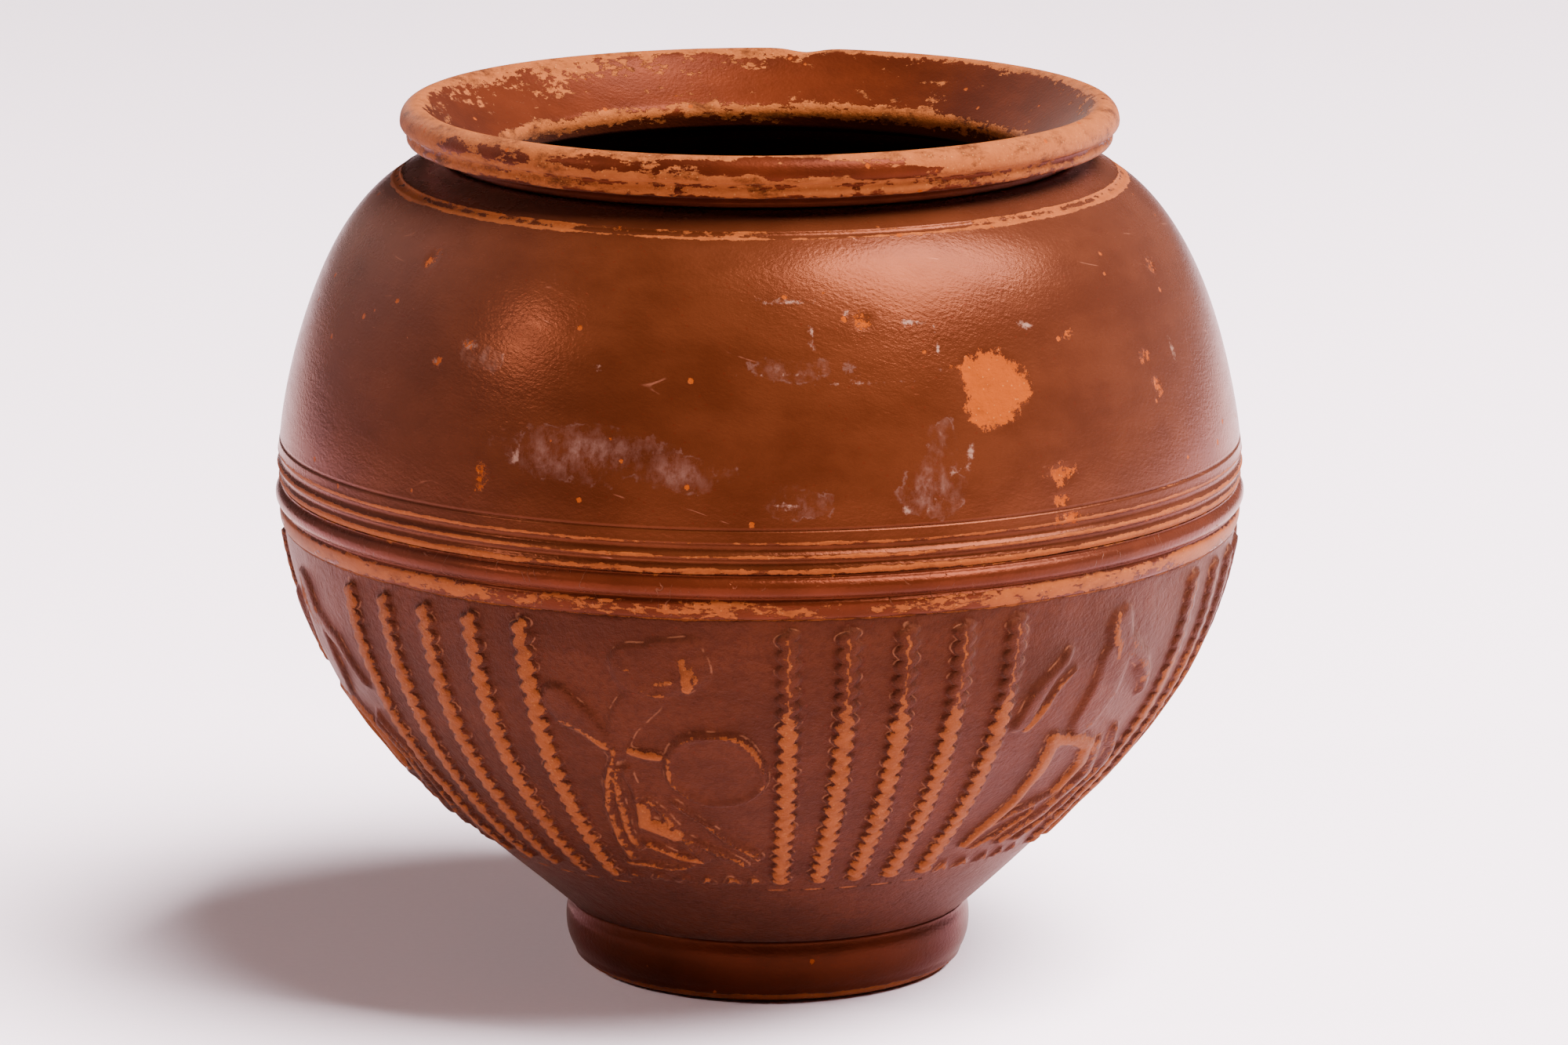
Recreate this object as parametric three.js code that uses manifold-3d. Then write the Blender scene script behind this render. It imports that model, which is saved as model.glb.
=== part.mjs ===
// A footed beaker in red-slipped relief ware, as the pieces that its potter joined when leather-hard:
// a turned foot ring, a lower wall pressed in a decorated mould, a thrown shoulder, a cordon strip
// over the seam between them, and a neck with a rolled lip.
// Millimetres, +Z up. The origin is the centre of the face that the foot rests on.
import * as THREE from "three";
import { mergeVertices } from "three/addons/utils/BufferGeometryUtils.js";
import Module from "manifold-3d";

const wasm = await Module();
wasm.setup();

// Driving dimensions: heights are above the resting face, radii from the axis
const overallHeight = 149.3;
const footHeight = 11.4;
const baseRecess = 6.4;
const zoneBottomHeight = 24.8;
const zoneTopHeight = 77.6;
const bandHeight = 3.6;
const beadHeight = 3.8;
const ridgesHeight = 8.2;
const lipHeight = 9.5;
const footRadius = 34.8;
const bellyRadius = 81;
const neckRingRadius = 62.3;

// Steps from one radius to the next
const footTopInset = 0.6;
const restInset = 5.2;
const restWidth = 3.8;
const bossInset = 1.4;
const cordonProud = 1.4;
const shoulderInset = 0.8;
const neckInset = 8.9;
const lipFlare = 7.4;
const neckWall = 7.6;

// Walls, laps and the clearance that the luting slip fills
const bowlWall = 5.8;
const floorThickness = 6;
const baseDome = 0.8;
const shoulderWall = 4.8;
const cordonDepth = 1.9;
const lapWidth = 2.2;
const lapDepth = 3.8;
const lapShoulder = 0.5;
const tongueWidth = 1.9;
const collarTongueWidth = 4.2;
const collarTongueDepth = 4.2;
const collarRelief = 0.6;
const clearance = 0.3;

// Wall curves: where the handles stand, as shares of the radius and height that the curve spans
const bowlHandles = [[0.45, 0.29], [0.91, 0.55]];
const shoulderHandles = [[0.05, 0.23], [0.35, 0.81]];
const shoulderDrop = 3.6;
const shoulderInnerSpan = [0.08, 0.96];
const floorShares = [0.8, 0.5];
const floorPower = 4;

// Mouldings: how far inside the widest radius, and the share of the moulding's own height
const footProfile = [[2, 0.14], [0.5, 0.38], [0, 0.62], [0.2, 0.84]];
const bandProfile = [[0.8, 0.3], [0.7, 0.75], [1.1, 0.92]];
const beadProfile = [[0.3, 0.1], [0, 0.4], [0.3, 0.75], [1.1, 1]];
const ridgesProfile = [
  [1, 0],
  [0.2, 0.12],
  [1.1, 0.25],
  [0.1, 0.36],
  [1.1, 0.51],
  [0.4, 0.65],
  [0.6, 0.83],
  [1, 0.89],
];
const neckSlope = [[1.9, 2.3], [4.8, 1.1], [7.9, 0]];
const lipProfile = [
  [7.4, 0],
  [8.1, 0.13],
  [6.2, 0.26],
  [2.6, 0.24],
  [1.3, 0.36],
  [1.4, 0.46],
  [0.2, 0.53],
  [0, 0.63],
  [0.5, 0.8],
  [1.8, 0.94],
  [3.6, 1],
  [5.4, 0.9],
  [9, 0.55],
  [14, 0.16],
  [15, -0.08],
  [14.4, -0.31],
];

// Relief of the mould: groups of wavy columns with a figure panel between each two
const groupCount = 6;
const columnsPerGroup = 5;
const columnPitchAngle = 7 * THREE.MathUtils.DEG2RAD;
const firstGroupAngle = 17.3 * THREE.MathUtils.DEG2RAD;
const zoneMargin = 1.2;
const columnWidthTop = 4.2;
const columnWidthBottom = 3.2;
const columnHeight = 0.9;
const columnEndShare = 0.08;
const crestShare = 0.68;
const waveDepth = 0.45;
const wavesPerColumn = 16;
const figureHeight = 1.3;
const figureSink = 1;
const figureBevel = 0.4;

// Resolution
const ringFacets = 48;
const wallSteps = 8;
const panelSteps = 3;
const curveSteps = 5;
const searchSteps = 40;
const weldDistance = 1e-4;
const angleSlack = 1e-8;

// Places that follow from the sizes above
const fullTurn = 2 * Math.PI;
const seamHeight = zoneTopHeight + bandHeight;
const cordonTopHeight = seamHeight + beadHeight;
const ridgesTopHeight = cordonTopHeight + ridgesHeight;
const neckSeatHeight = overallHeight - lipHeight;
const footTopRadius = footRadius - footTopInset;
const restOuterRadius = footRadius - restInset;
const restInnerRadius = restOuterRadius - restWidth;
const bossRadius = restInnerRadius - bossInset;
const cordonRadius = bellyRadius + cordonProud;
const neckOuterRadius = neckRingRadius - neckInset;
const neckInnerRadius = neckOuterRadius - neckWall;
const lipRadius = neckOuterRadius + lipFlare;
const groupAngle = fullTurn / groupCount;

const slipRed = { color: 0x8a3f22, roughness: 0.38, metalness: 0 };
const wornSlipRed = { color: 0x7c3a24, roughness: 0.55, metalness: 0 };

/** Makes one closed mesh's geometry of a geometry with seams. */
function weld(geometry) {
  geometry.deleteAttribute("normal");
  geometry.deleteAttribute("uv");
  return mergeVertices(geometry, weldDistance);
}

/** Revolves a closed outline of [radius, height] points, listed upwards on its outer side. */
function revolve(outline) {
  const points = [...outline, outline[0]].map(([radius, height]) => new THREE.Vector2(radius, height));
  const geometry = new THREE.LatheGeometry(points, ringFacets);
  geometry.rotateX(Math.PI / 2);
  return weld(geometry);
}

/** Turns a welded geometry into a manifold solid. */
function toSolid(geometry) {
  const vertProperties = new Float32Array(geometry.attributes.position.array);
  const triVerts = new Uint32Array(geometry.index.array);
  return new wasm.Manifold(new wasm.Mesh({ numProp: 3, vertProperties, triVerts }));
}

/** Turns a manifold solid back into a geometry. */
function toGeometry(solid) {
  const { vertProperties, triVerts } = solid.getMesh();
  const geometry = new THREE.BufferGeometry();
  geometry.setAttribute("position", new THREE.BufferAttribute(vertProperties, 3));
  geometry.setIndex(new THREE.BufferAttribute(triVerts, 1));
  return geometry;
}

function namedMesh(name, geometry, finish) {
  geometry.computeVertexNormals();
  const mesh = new THREE.Mesh(geometry, new THREE.MeshStandardMaterial({ ...finish, flatShading: true }));
  mesh.name = name;
  return mesh;
}

/** A curve in the radius and height plane whose inner handles are shares of its span. */
function wallCurve(start, end, lowerHandle, upperHandle) {
  const at = ([radiusShare, heightShare]) => new THREE.Vector2(
    start[0] + radiusShare * (end[0] - start[0]),
    start[1] + heightShare * (end[1] - start[1]),
  );
  return new THREE.CubicBezierCurve(at([0, 0]), at(lowerHandle), at(upperHandle), at([1, 1]));
}

/** A point of a wall curve, moved outwards along the wall's normal. */
function offsetPoint(curve, share, distance) {
  const point = curve.getPointAt(share);
  const tangent = curve.getTangentAt(share);
  return [point.x + tangent.y * distance, point.y - tangent.x * distance];
}

/** The share of a rising curve's length at which it reaches a height. */
function shareAtHeight(curve, height) {
  let low = 0;
  let high = 1;
  for (let step = 0; step < searchSteps; step += 1) {
    const middle = (low + high) / 2;
    if (curve.getPointAt(middle).y < height) low = middle;
    else high = middle;
  }
  return (low + high) / 2;
}

function spread(from, to, steps) {
  return Array.from({ length: steps + 1 }, (_, step) => from + ((to - from) * step) / steps);
}

/** Places a moulding's [inset, share] points from its widest radius, its foot and its height. */
function placed(profile, radius, bottom, height) {
  return profile.map(([inset, share]) => [radius - inset, bottom + share * height]);
}

// The lower wall swells from the foot to the cordon, the upper one closes from there to the neck
const bowlCurve = wallCurve([footTopRadius, footHeight], [bellyRadius, zoneTopHeight], ...bowlHandles);
const shoulderCurve = wallCurve(
  [cordonRadius - shoulderInset, ridgesTopHeight],
  [neckRingRadius, neckSeatHeight - shoulderDrop],
  ...shoulderHandles,
);

// Radii of the lap at the widest point, from the outside inwards
const channelRadius = bellyRadius - cordonDepth;
const lapRadius = channelRadius - lapWidth;
const tongueOuterRadius = lapRadius - clearance;
const seamInnerRadius = tongueOuterRadius - tongueWidth;
const lapFloorHeight = seamHeight - lapDepth;

function makeFootRing() {
  const innerRadius = bossRadius + clearance;
  return revolve([
    [restInnerRadius, 0],
    [restOuterRadius, 0],
    ...placed(footProfile, footRadius, 0, footHeight),
    [footTopRadius, footHeight],
    [innerRadius, footHeight],
    [innerRadius, baseRecess],
  ]);
}

/** Collects vertices, and stitches neighbouring lines of them into a skin that faces outwards. */
class Skin {
  positions = [];

  triangles = [];

  vertex(radius, angle, height) {
    this.positions.push(radius * Math.sin(angle), -radius * Math.cos(angle), height);
    return this.positions.length / 3 - 1;
  }

  ring(radius, height, startAngle) {
    const ring = Array.from({ length: ringFacets }, (_, facet) => {
      const at = startAngle + (fullTurn * facet) / ringFacets;
      return { id: this.vertex(radius, at, height), at };
    });
    return [...ring, { id: ring[0].id, at: startAngle + fullTurn }];
  }

  pole(height, startAngle) {
    const id = this.vertex(0, 0, height);
    return [{ id, at: startAngle }, { id, at: startAngle + fullTurn }];
  }

  triangle(a, b, c) {
    if (a !== b && b !== c && c !== a) this.triangles.push(a, b, c);
  }

  /** Fills the strip between a left and a right line, both read the same way. */
  stitch(left, right) {
    let l = 0;
    let r = 0;
    while (l < left.length - 1 || r < right.length - 1) {
      const leftNext = left[l + 1]?.at ?? Infinity;
      const rightNext = right[r + 1]?.at ?? Infinity;
      if (leftNext <= rightNext) {
        this.triangle(left[l].id, right[r].id, left[l + 1].id);
        l += 1;
      } else {
        this.triangle(left[l].id, right[r].id, right[r + 1].id);
        r += 1;
      }
    }
  }

  geometry() {
    const geometry = new THREE.BufferGeometry();
    geometry.setAttribute("position", new THREE.Float32BufferAttribute(this.positions, 3));
    geometry.setIndex(this.triangles);
    return weld(geometry);
  }
}

const zoneStart = shareAtHeight(bowlCurve, zoneBottomHeight);
const zoneEnd = shareAtHeight(bowlCurve, zoneTopHeight - zoneMargin);

/** One line up the decorated zone: its angle and its height above the wall change with the share. */
function rail(skin, steps, angleAt, reliefAt) {
  return spread(0, 1, steps).map((at) => {
    const share = zoneStart + (zoneEnd - zoneStart) * at;
    const [radius, height] = offsetPoint(bowlCurve, share, reliefAt(at));
    return { id: skin.vertex(radius, angleAt(at, radius), height), at };
  });
}

/** The four rails of a wavy column: two feet on the wall, and two crests that sway together. */
function columnRails(skin, centre) {
  const flat = () => 0;
  const raised = (at) => columnHeight * Math.min(1, Math.min(at, 1 - at) / columnEndShare);
  const halfWidth = (at) => (columnWidthBottom + (columnWidthTop - columnWidthBottom) * at) / 2;
  const waveSteps = 2 * wavesPerColumn;
  const sway = (at) => (Math.round(at * waveSteps) % 2 === 0 ? -waveDepth : waveDepth);
  const foot = (side) => (at, radius) => centre + (side * halfWidth(at)) / radius;
  const crest = (side) => (at, radius) => (
    centre + (side * halfWidth(at) * crestShare + (at > 0 && at < 1 ? sway(at) : 0)) / radius
  );
  return [
    rail(skin, wallSteps, foot(-1), flat),
    rail(skin, waveSteps, crest(-1), raised),
    rail(skin, waveSteps, crest(1), raised),
    rail(skin, wallSteps, foot(1), flat),
  ];
}

/** All rails of the decorated zone, in order of angle. */
function zoneRails(skin) {
  const rails = [];
  const groupWidth = (columnsPerGroup - 1) * columnPitchAngle;
  for (let group = 0; group < groupCount; group += 1) {
    const firstColumn = firstGroupAngle + group * groupAngle - groupWidth / 2;
    for (let column = 0; column < columnsPerGroup; column += 1) {
      rails.push(...columnRails(skin, firstColumn + column * columnPitchAngle));
    }
    const panelStart = firstColumn + groupWidth;
    const panelWidth = groupAngle - groupWidth;
    spread(0, 1, panelSteps + 1).slice(1, -1).forEach((share) => {
      rails.push(rail(skin, wallSteps, () => panelStart + share * panelWidth, () => 0));
    });
  }
  return rails;
}

/** The ring that the rails' first or last vertices make round the wall. */
function railEnds(skin, rails, pick) {
  const ends = rails.map((line) => {
    const { id } = pick(line);
    const [x, y] = skin.positions.slice(3 * id, 3 * id + 2);
    return { id, angle: Math.atan2(x, -y) };
  });
  const startAngle = ends[0].angle;
  const ring = ends.map(({ id, angle }) => {
    const turned = (angle - startAngle + 2 * fullTurn + angleSlack) % fullTurn;
    return { id, at: startAngle + turned };
  });
  return [...ring, { id: ring[0].id, at: startAngle + fullTurn }];
}

/** The bowl's inner face, from the seam down to the edge of its floor. */
function bowlInnerOutline() {
  const wall = spread(0, 1, wallSteps - 2)
    .map((share) => offsetPoint(bowlCurve, share, -bowlWall))
    .filter(([radius]) => radius < seamInnerRadius - lapShoulder)
    .reverse();
  const [edgeRadius, edgeHeight] = wall.at(-1);
  const floorHeight = baseRecess + baseDome + floorThickness;
  const floor = floorShares.map((share) => [
    edgeRadius * share,
    floorHeight + Math.max(0, edgeHeight - floorHeight) * share ** floorPower,
  ]);
  return { outline: [[seamInnerRadius, lapFloorHeight], ...wall, ...floor], floorHeight };
}

/** A point on the bowl's wall: across and up in millimetres from a panel's middle, out by a depth. */
function wrapOnWall(geometry, panelAngle, middleShare) {
  const length = bowlCurve.getLength();
  const position = geometry.attributes.position;
  for (let index = 0; index < position.count; index += 1) {
    const share = middleShare + position.getY(index) / length;
    const [radius, height] = offsetPoint(bowlCurve, share, position.getZ(index) - figureSink);
    const angle = panelAngle + position.getX(index) / bowlCurve.getPointAt(share).x;
    position.setXYZ(index, radius * Math.sin(angle), -radius * Math.cos(angle), height);
  }
  return geometry;
}

/** An oval boss. */
function oval(x, y, halfWidth, halfHeight) {
  return new THREE.Shape().absellipse(x, y, halfWidth, halfHeight, 0, fullTurn);
}

/** A stroke through [x, y, width] points, with pointed ends. */
function stroke(points) {
  const middle = new THREE.SplineCurve(points.map(([x, y]) => new THREE.Vector2(x, y)));
  const widths = new THREE.SplineCurve(points.map(([, , width], index) => new THREE.Vector2(index, width)));
  const steps = 2 * (points.length - 1);
  const side = (sign) => spread(0, 1, steps).slice(1, -1).map((share) => {
    const tangent = middle.getTangent(share);
    const half = (sign * widths.getPoint(share).y) / 2;
    return middle.getPoint(share).add(new THREE.Vector2(tangent.y * half, -tangent.x * half));
  });
  return new THREE.Shape([middle.getPoint(0), ...side(1), middle.getPoint(1), ...side(-1).reverse()]);
}

/** A round shield seen as a raised ring. */
function shield(x, y, radius, rimWidth) {
  const ring = oval(x, y, radius, radius);
  const inner = radius - rimWidth;
  ring.holes.push(new THREE.Path().absellipse(x, y, inner, inner, 0, fullTurn, true));
  return ring;
}

// Two worn figures, in millimetres from the panel's middle
const drapedFigure = [
  oval(0.5, 20, 6.5, 4.6),
  stroke([[-4, 15, 2], [-11, 12, 2.4], [-13, 6, 2.2], [-8, 2, 2.6]]),
  shield(5, -2, 7.6, 2),
  stroke([[-8, 6, 2], [-9, -8, 2.6], [-6, -27, 2.4]]),
  stroke([[-4, -2, 2], [-5, -13, 3], [-1, -26, 2.6]]),
  stroke([[0, -11, 2], [1, -17, 3], [7, -25, 2.4]]),
];
const stridingFigure = [
  stroke([[-6, 1, 2], [-7, 10, 4.6], [-2, 20, 2.4]]),
  oval(4, 17, 3.4, 4.2),
  stroke([[3, 12, 4], [4, 4, 6.4], [5, -5, 5]]),
  stroke([[1, 0, 3], [-4, -5, 3.6], [-4, -15, 2.8], [-8, -25, 2.2]]),
  stroke([[7, -6, 3.4], [9, -15, 3], [5, -26, 2.2]]),
];

function figureSolids(panelAngle, figure) {
  const middleShare = (zoneStart + zoneEnd) / 2;
  const depth = figureSink + figureHeight - 2 * figureBevel;
  return figure.map((shape) => {
    const geometry = new THREE.ExtrudeGeometry(shape, {
      depth,
      bevelThickness: figureBevel,
      bevelSize: figureBevel,
      bevelOffset: -figureBevel,
      bevelSegments: 1,
      curveSegments: curveSteps,
    });
    geometry.translate(0, 0, figureBevel);
    return toSolid(weld(wrapOnWall(geometry, panelAngle, middleShare)));
  });
}

function makeMouldedBowl() {
  const skin = new Skin();
  const rails = zoneRails(skin);
  const lowerEnds = railEnds(skin, rails, (line) => line[0]);
  const upperEnds = railEnds(skin, rails, (line) => line.at(-1));
  const startAngle = lowerEnds[0].at;
  const ring = ([radius, height]) => skin.ring(radius, height, startAngle);
  const below = [
    [bossRadius, baseRecess],
    [bossRadius, footHeight],
    [footTopRadius, footHeight],
    offsetPoint(bowlCurve, zoneStart / 2, 0),
  ];
  const inner = bowlInnerOutline();
  const above = [
    [bellyRadius, zoneTopHeight],
    [channelRadius, zoneTopHeight],
    [channelRadius, seamHeight],
    [lapRadius, seamHeight],
    [lapRadius, lapFloorHeight],
    ...inner.outline,
  ];
  const rings = [
    skin.pole(baseRecess + baseDome, startAngle),
    ...below.map(ring),
    lowerEnds,
    upperEnds,
    ...above.map(ring),
    skin.pole(inner.floorHeight, startAngle),
  ];
  rings.slice(1).forEach((next, index) => {
    if (next !== upperEnds) skin.stitch(next, rings[index]);
  });
  rails.forEach((line, index) => skin.stitch(line, rails[(index + 1) % rails.length]));

  let solid = toSolid(skin.geometry());
  for (let panel = 0; panel < groupCount; panel += 1) {
    const panelAngle = firstGroupAngle + (panel - 0.5) * groupAngle;
    const figure = panel % 2 === 0 ? drapedFigure : stridingFigure;
    figureSolids(panelAngle, figure).forEach((piece) => {
      solid = solid.add(piece);
    });
  }
  return weld(toGeometry(solid));
}

function makeSeamCordon() {
  const backRadius = channelRadius + clearance;
  return revolve([
    [backRadius, zoneTopHeight],
    [bellyRadius, zoneTopHeight],
    ...placed(bandProfile, cordonRadius, zoneTopHeight, bandHeight),
    ...placed(beadProfile, cordonRadius, seamHeight, beadHeight),
    [backRadius, cordonTopHeight],
  ]);
}

function makeThrownShoulder() {
  const outer = spread(0, 1, wallSteps).map((share) => offsetPoint(shoulderCurve, share, 0));
  const inner = spread(...shoulderInnerSpan, wallSteps - 2)
    .map((share) => offsetPoint(shoulderCurve, share, -shoulderWall))
    .reverse();
  const mouthRadius = neckInnerRadius + collarTongueWidth + clearance;
  return revolve([
    [seamInnerRadius, lapFloorHeight],
    [tongueOuterRadius, lapFloorHeight],
    [tongueOuterRadius, seamHeight],
    [channelRadius, seamHeight],
    [channelRadius, cordonTopHeight],
    ...placed(ridgesProfile, cordonRadius, cordonTopHeight, ridgesHeight),
    ...outer,
    ...neckSlope.map(([inset, drop]) => [neckRingRadius - inset, neckSeatHeight - drop]),
    [mouthRadius, neckSeatHeight],
    [mouthRadius, neckSeatHeight - collarTongueDepth - collarRelief],
    ...inner,
    [seamInnerRadius + clearance, cordonTopHeight],
  ]);
}

function makeNeckAndLip() {
  const tongueRadius = neckInnerRadius + collarTongueWidth;
  return revolve([
    [tongueRadius, neckSeatHeight - collarTongueDepth],
    [tongueRadius, neckSeatHeight],
    ...placed(lipProfile, lipRadius, neckSeatHeight, lipHeight),
  ]);
}

const beaker = new THREE.Group();
beaker.name = "relief_beaker";
beaker.add(
  namedMesh("foot_ring", makeFootRing(), slipRed),
  namedMesh("moulded_bowl", makeMouldedBowl(), wornSlipRed),
  namedMesh("seam_cordon", makeSeamCordon(), slipRed),
  namedMesh("thrown_shoulder", makeThrownShoulder(), slipRed),
  namedMesh("neck_and_lip", makeNeckAndLip(), slipRed),
);

export default beaker;
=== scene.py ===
import logging
import math
from collections.abc import Callable, Iterable, Sequence
from dataclasses import dataclass
from enum import Enum

import bmesh
import bpy
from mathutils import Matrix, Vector, noise


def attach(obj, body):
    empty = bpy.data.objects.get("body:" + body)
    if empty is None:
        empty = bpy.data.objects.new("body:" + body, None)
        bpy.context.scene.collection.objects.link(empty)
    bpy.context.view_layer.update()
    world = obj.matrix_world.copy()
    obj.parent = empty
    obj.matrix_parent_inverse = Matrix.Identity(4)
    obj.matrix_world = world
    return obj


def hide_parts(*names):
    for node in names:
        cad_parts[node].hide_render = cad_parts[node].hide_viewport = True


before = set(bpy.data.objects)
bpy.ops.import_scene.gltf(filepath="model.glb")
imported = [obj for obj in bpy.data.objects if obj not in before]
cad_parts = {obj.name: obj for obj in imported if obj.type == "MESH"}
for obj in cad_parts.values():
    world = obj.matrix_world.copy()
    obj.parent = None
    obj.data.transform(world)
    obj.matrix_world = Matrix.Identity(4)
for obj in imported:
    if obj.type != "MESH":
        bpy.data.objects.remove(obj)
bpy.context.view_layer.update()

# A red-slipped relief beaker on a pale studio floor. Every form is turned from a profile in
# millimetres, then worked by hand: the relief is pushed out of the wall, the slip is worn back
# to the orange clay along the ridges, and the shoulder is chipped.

MM = 0.001
FULL_TURN = 2 * math.pi
LOG = logging.getLogger("beaker")
GLOSS_TINT = (1.0, 0.44, 0.3)
DUST_TINT = (1.0, 0.74, 0.66)
FOOT_OFFSET = 1.3
LEAN_START = 12.0
LEAN_TOP = 34.0
SHAKE_STARTS = ((9.3, -1.5, -7.9), (0.0, 0.0, 0.0))
MERGE_DISTANCE = 1e-6
HAND_PITCH = (22.0, 22.0, 75.0)
UNMARKED = -9.0
OFF_FIGURE = -3.0
OFF_COLUMN = -5.0

Station = tuple[float, float, float]
Place = tuple[float, float]
Color = tuple[float, float, float]


class Figure(Enum):
    """The two kinds of figure that take turns in the panels."""

    DRAPED = "draped"
    STRIDING = "striding"


class Layer(Enum):
    """Names of the values that a mesh carries at its points for the finishes."""

    WEAR = "wear"
    ALONG = "column_along"
    WOBBLE = "column_wobble"
    FIGURE_EDGE = "figure_edge"
    FIGURE_WEAR = "figure_wear"
    CHIP = "chip_edge"
    FILM = "film_edge"
    # Crusts of soil, and the painted highlight lines laid in their colour.
    CRUST = "crust_and_glint_edge"


def color(red: int, green: int, blue: int) -> Color:
    """Turn a display colour into the linear values that a shader takes.

    Args:
        red: Red from 0 to 255.
        green: Green from 0 to 255.
        blue: Blue from 0 to 255.

    Returns:
        The three linear values.
    """
    return tuple((part / 255) ** 2.2 for part in (red, green, blue))


def blend_step(value: float, low: float, high: float) -> float:
    """Rise smoothly from 0 at one value to 1 at another.

    Args:
        value: Where to read the rise.
        low: The value that gives 0.
        high: The value that gives 1.

    Returns:
        The share between 0 and 1.
    """
    share = min(1.0, max(0.0, (value - low) / (high - low)))
    return share * share * (3 - 2 * share)


def wall_curve(start: Place, end: Place, first: Place, second: Place, count: int) -> list[Place]:
    """Draw a cubic wall outline whose handles are shares of its span.

    Args:
        start: Radius and height of the lower end.
        end: Radius and height of the upper end.
        first: Share of the span at which the lower handle stands.
        second: Share of the span at which the upper handle stands.
        count: How many points to give.

    Returns:
        Radius and height of each point.
    """
    span = (end[0] - start[0], end[1] - start[1])
    handles = [start] + [(start[0] + span[0] * a, start[1] + span[1] * b) for a, b in (first, second)] + [end]
    curve = []
    for index in range(count):
        t = index / (count - 1)
        shares = ((1 - t) ** 3, 3 * t * (1 - t) ** 2, 3 * t * t * (1 - t), t**3)
        curve.append(tuple(sum(s * h[axis] for s, h in zip(shares, handles)) for axis in (0, 1)))
    return curve


def evenly(points: Sequence[tuple[float, ...]], spacing: float) -> list[tuple[float, ...]]:
    """Space the points of a line evenly, keeping both ends.

    Args:
        points: Radius, height and any further values of each point.
        spacing: Distance to aim for between neighbours, in millimetres.

    Returns:
        The evenly spaced points.
    """
    lengths = [0.0]
    for a, b in zip(points, points[1:]):
        lengths.append(lengths[-1] + math.hypot(b[0] - a[0], b[1] - a[1]))
    count = max(1, round(lengths[-1] / spacing))
    result, at = [], 0
    for index in range(count + 1):
        wanted = lengths[-1] * index / count
        while at < len(points) - 2 and lengths[at + 1] < wanted:
            at += 1
        share = (wanted - lengths[at]) / max(1e-9, lengths[at + 1] - lengths[at])
        result.append(tuple(a + (b - a) * share for a, b in zip(points[at], points[at + 1])))
    return result


def moulding(stations: Sequence[Station], spacing: float) -> list[Station]:
    """Run a soft line through the stations of a moulding.

    Args:
        stations: Radius, height and wear of each station.
        spacing: Distance between the points of the result, in millimetres.

    Returns:
        The stations of the smooth line.
    """
    padded = [stations[0], *stations, stations[-1]]
    fine = []
    for before, a, b, after in zip(padded, padded[1:], padded[2:], padded[3:]):
        for step in range(8):
            t = step / 8
            point = []
            for p, q, r, s in zip(before, a, b, after):
                bend, twist = 2 * p - 5 * q + 4 * r - s, 3 * q - p - 3 * r + s
                point.append(0.5 * (2 * q + (r - p) * t + bend * t * t + twist * t**3))
            fine.append((point[0], point[1], min(1.0, max(0.0, point[2]))))
    return evenly([*fine, stations[-1]], spacing)


def turned(stations: Sequence[Station], steps: int, closed: bool = True) -> bmesh.types.BMesh:
    """Turn a profile once round the vessel's axis.

    Args:
        stations: Radius, height and wear of each point of the profile.
        steps: How many steps the turn takes.
        closed: Whether the last station joins the first.

    Returns:
        The turned mesh, in metres.
    """
    mesh = bmesh.new()
    wear = mesh.verts.layers.float.new(Layer.WEAR.value)
    points = []
    for radius, height, amount in stations:
        point = mesh.verts.new((0, -radius * MM, height * MM))
        point[wear] = amount
        points.append(point)
    pairs = list(zip(points, points[1:] + points[:1] if closed else points[1:]))
    edges = [mesh.edges.new(pair) for pair in pairs]
    middle, up = (0, 0, 0), (0, 0, 1)
    bmesh.ops.spin(
        mesh, geom=points + edges, cent=middle, axis=up, angle=FULL_TURN, steps=steps, use_merge=True
    )
    bmesh.ops.remove_doubles(mesh, verts=mesh.verts, dist=MERGE_DISTANCE)
    bmesh.ops.recalc_face_normals(mesh, faces=mesh.faces)
    return mesh


def angle_of(point: Vector) -> float:
    """Give a point's angle round the axis in degrees, from the front toward the right."""
    return math.degrees(math.atan2(point.x, -point.y))


def hand_wobble(point: Vector, reach: float) -> float:
    """Give the slight unevenness that a potter's hand leaves, in millimetres.

    Args:
        point: The place on the vessel, in metres.
        reach: The largest departure, in millimetres.

    Returns:
        A value between plus and minus the reach.
    """
    return reach * noise.noise(point * Vector(HAND_PITCH))


def polar(point: Vector) -> tuple[float, float, float]:
    """Give a point's angle in degrees, and its radius and height in millimetres."""
    return angle_of(point), math.hypot(point.x, point.y) / MM, point.z / MM


def faces_inward(point: bmesh.types.BMVert) -> bool:
    """Tell whether the wall at a point faces the vessel's axis."""
    return point.normal.x * point.co.x + point.normal.y * point.co.y < 0


def inner_wall(outline: Sequence[Place], ahead: Sequence[Place], wall: float) -> list[Station]:
    """Step inward from an outline by the thickness of the wall.

    Args:
        outline: Radius and height of points of the outline.
        ahead: For each of them, a point further along.
        wall: The thickness in millimetres.

    Returns:
        The unworn stations of the inner wall.
    """
    inner = []
    for (radius, height), after in zip(outline, ahead):
        across, up = after[0] - radius, after[1] - height
        length = math.hypot(across, up)
        inner.append((radius - wall * up / length, height + wall * across / length, 0.0))
    return inner


def mesh_data(name: str, mesh: bmesh.types.BMesh) -> bpy.types.Mesh:
    """Turn a worked mesh into data that an object can hold.

    Args:
        name: Name of the data.
        mesh: The worked mesh, which is freed.

    Returns:
        The data.
    """
    data = bpy.data.meshes.new(name)
    mesh.to_mesh(data)
    mesh.free()
    return data


def set_out(name: str, data: bpy.types.ID) -> bpy.types.Object:
    """Set a mesh, light or camera out in the scene.

    Args:
        name: Name of the object.
        data: What the object holds.

    Returns:
        The object.
    """
    made = bpy.data.objects.new(name, data)
    bpy.context.scene.collection.objects.link(made)
    return made


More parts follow.
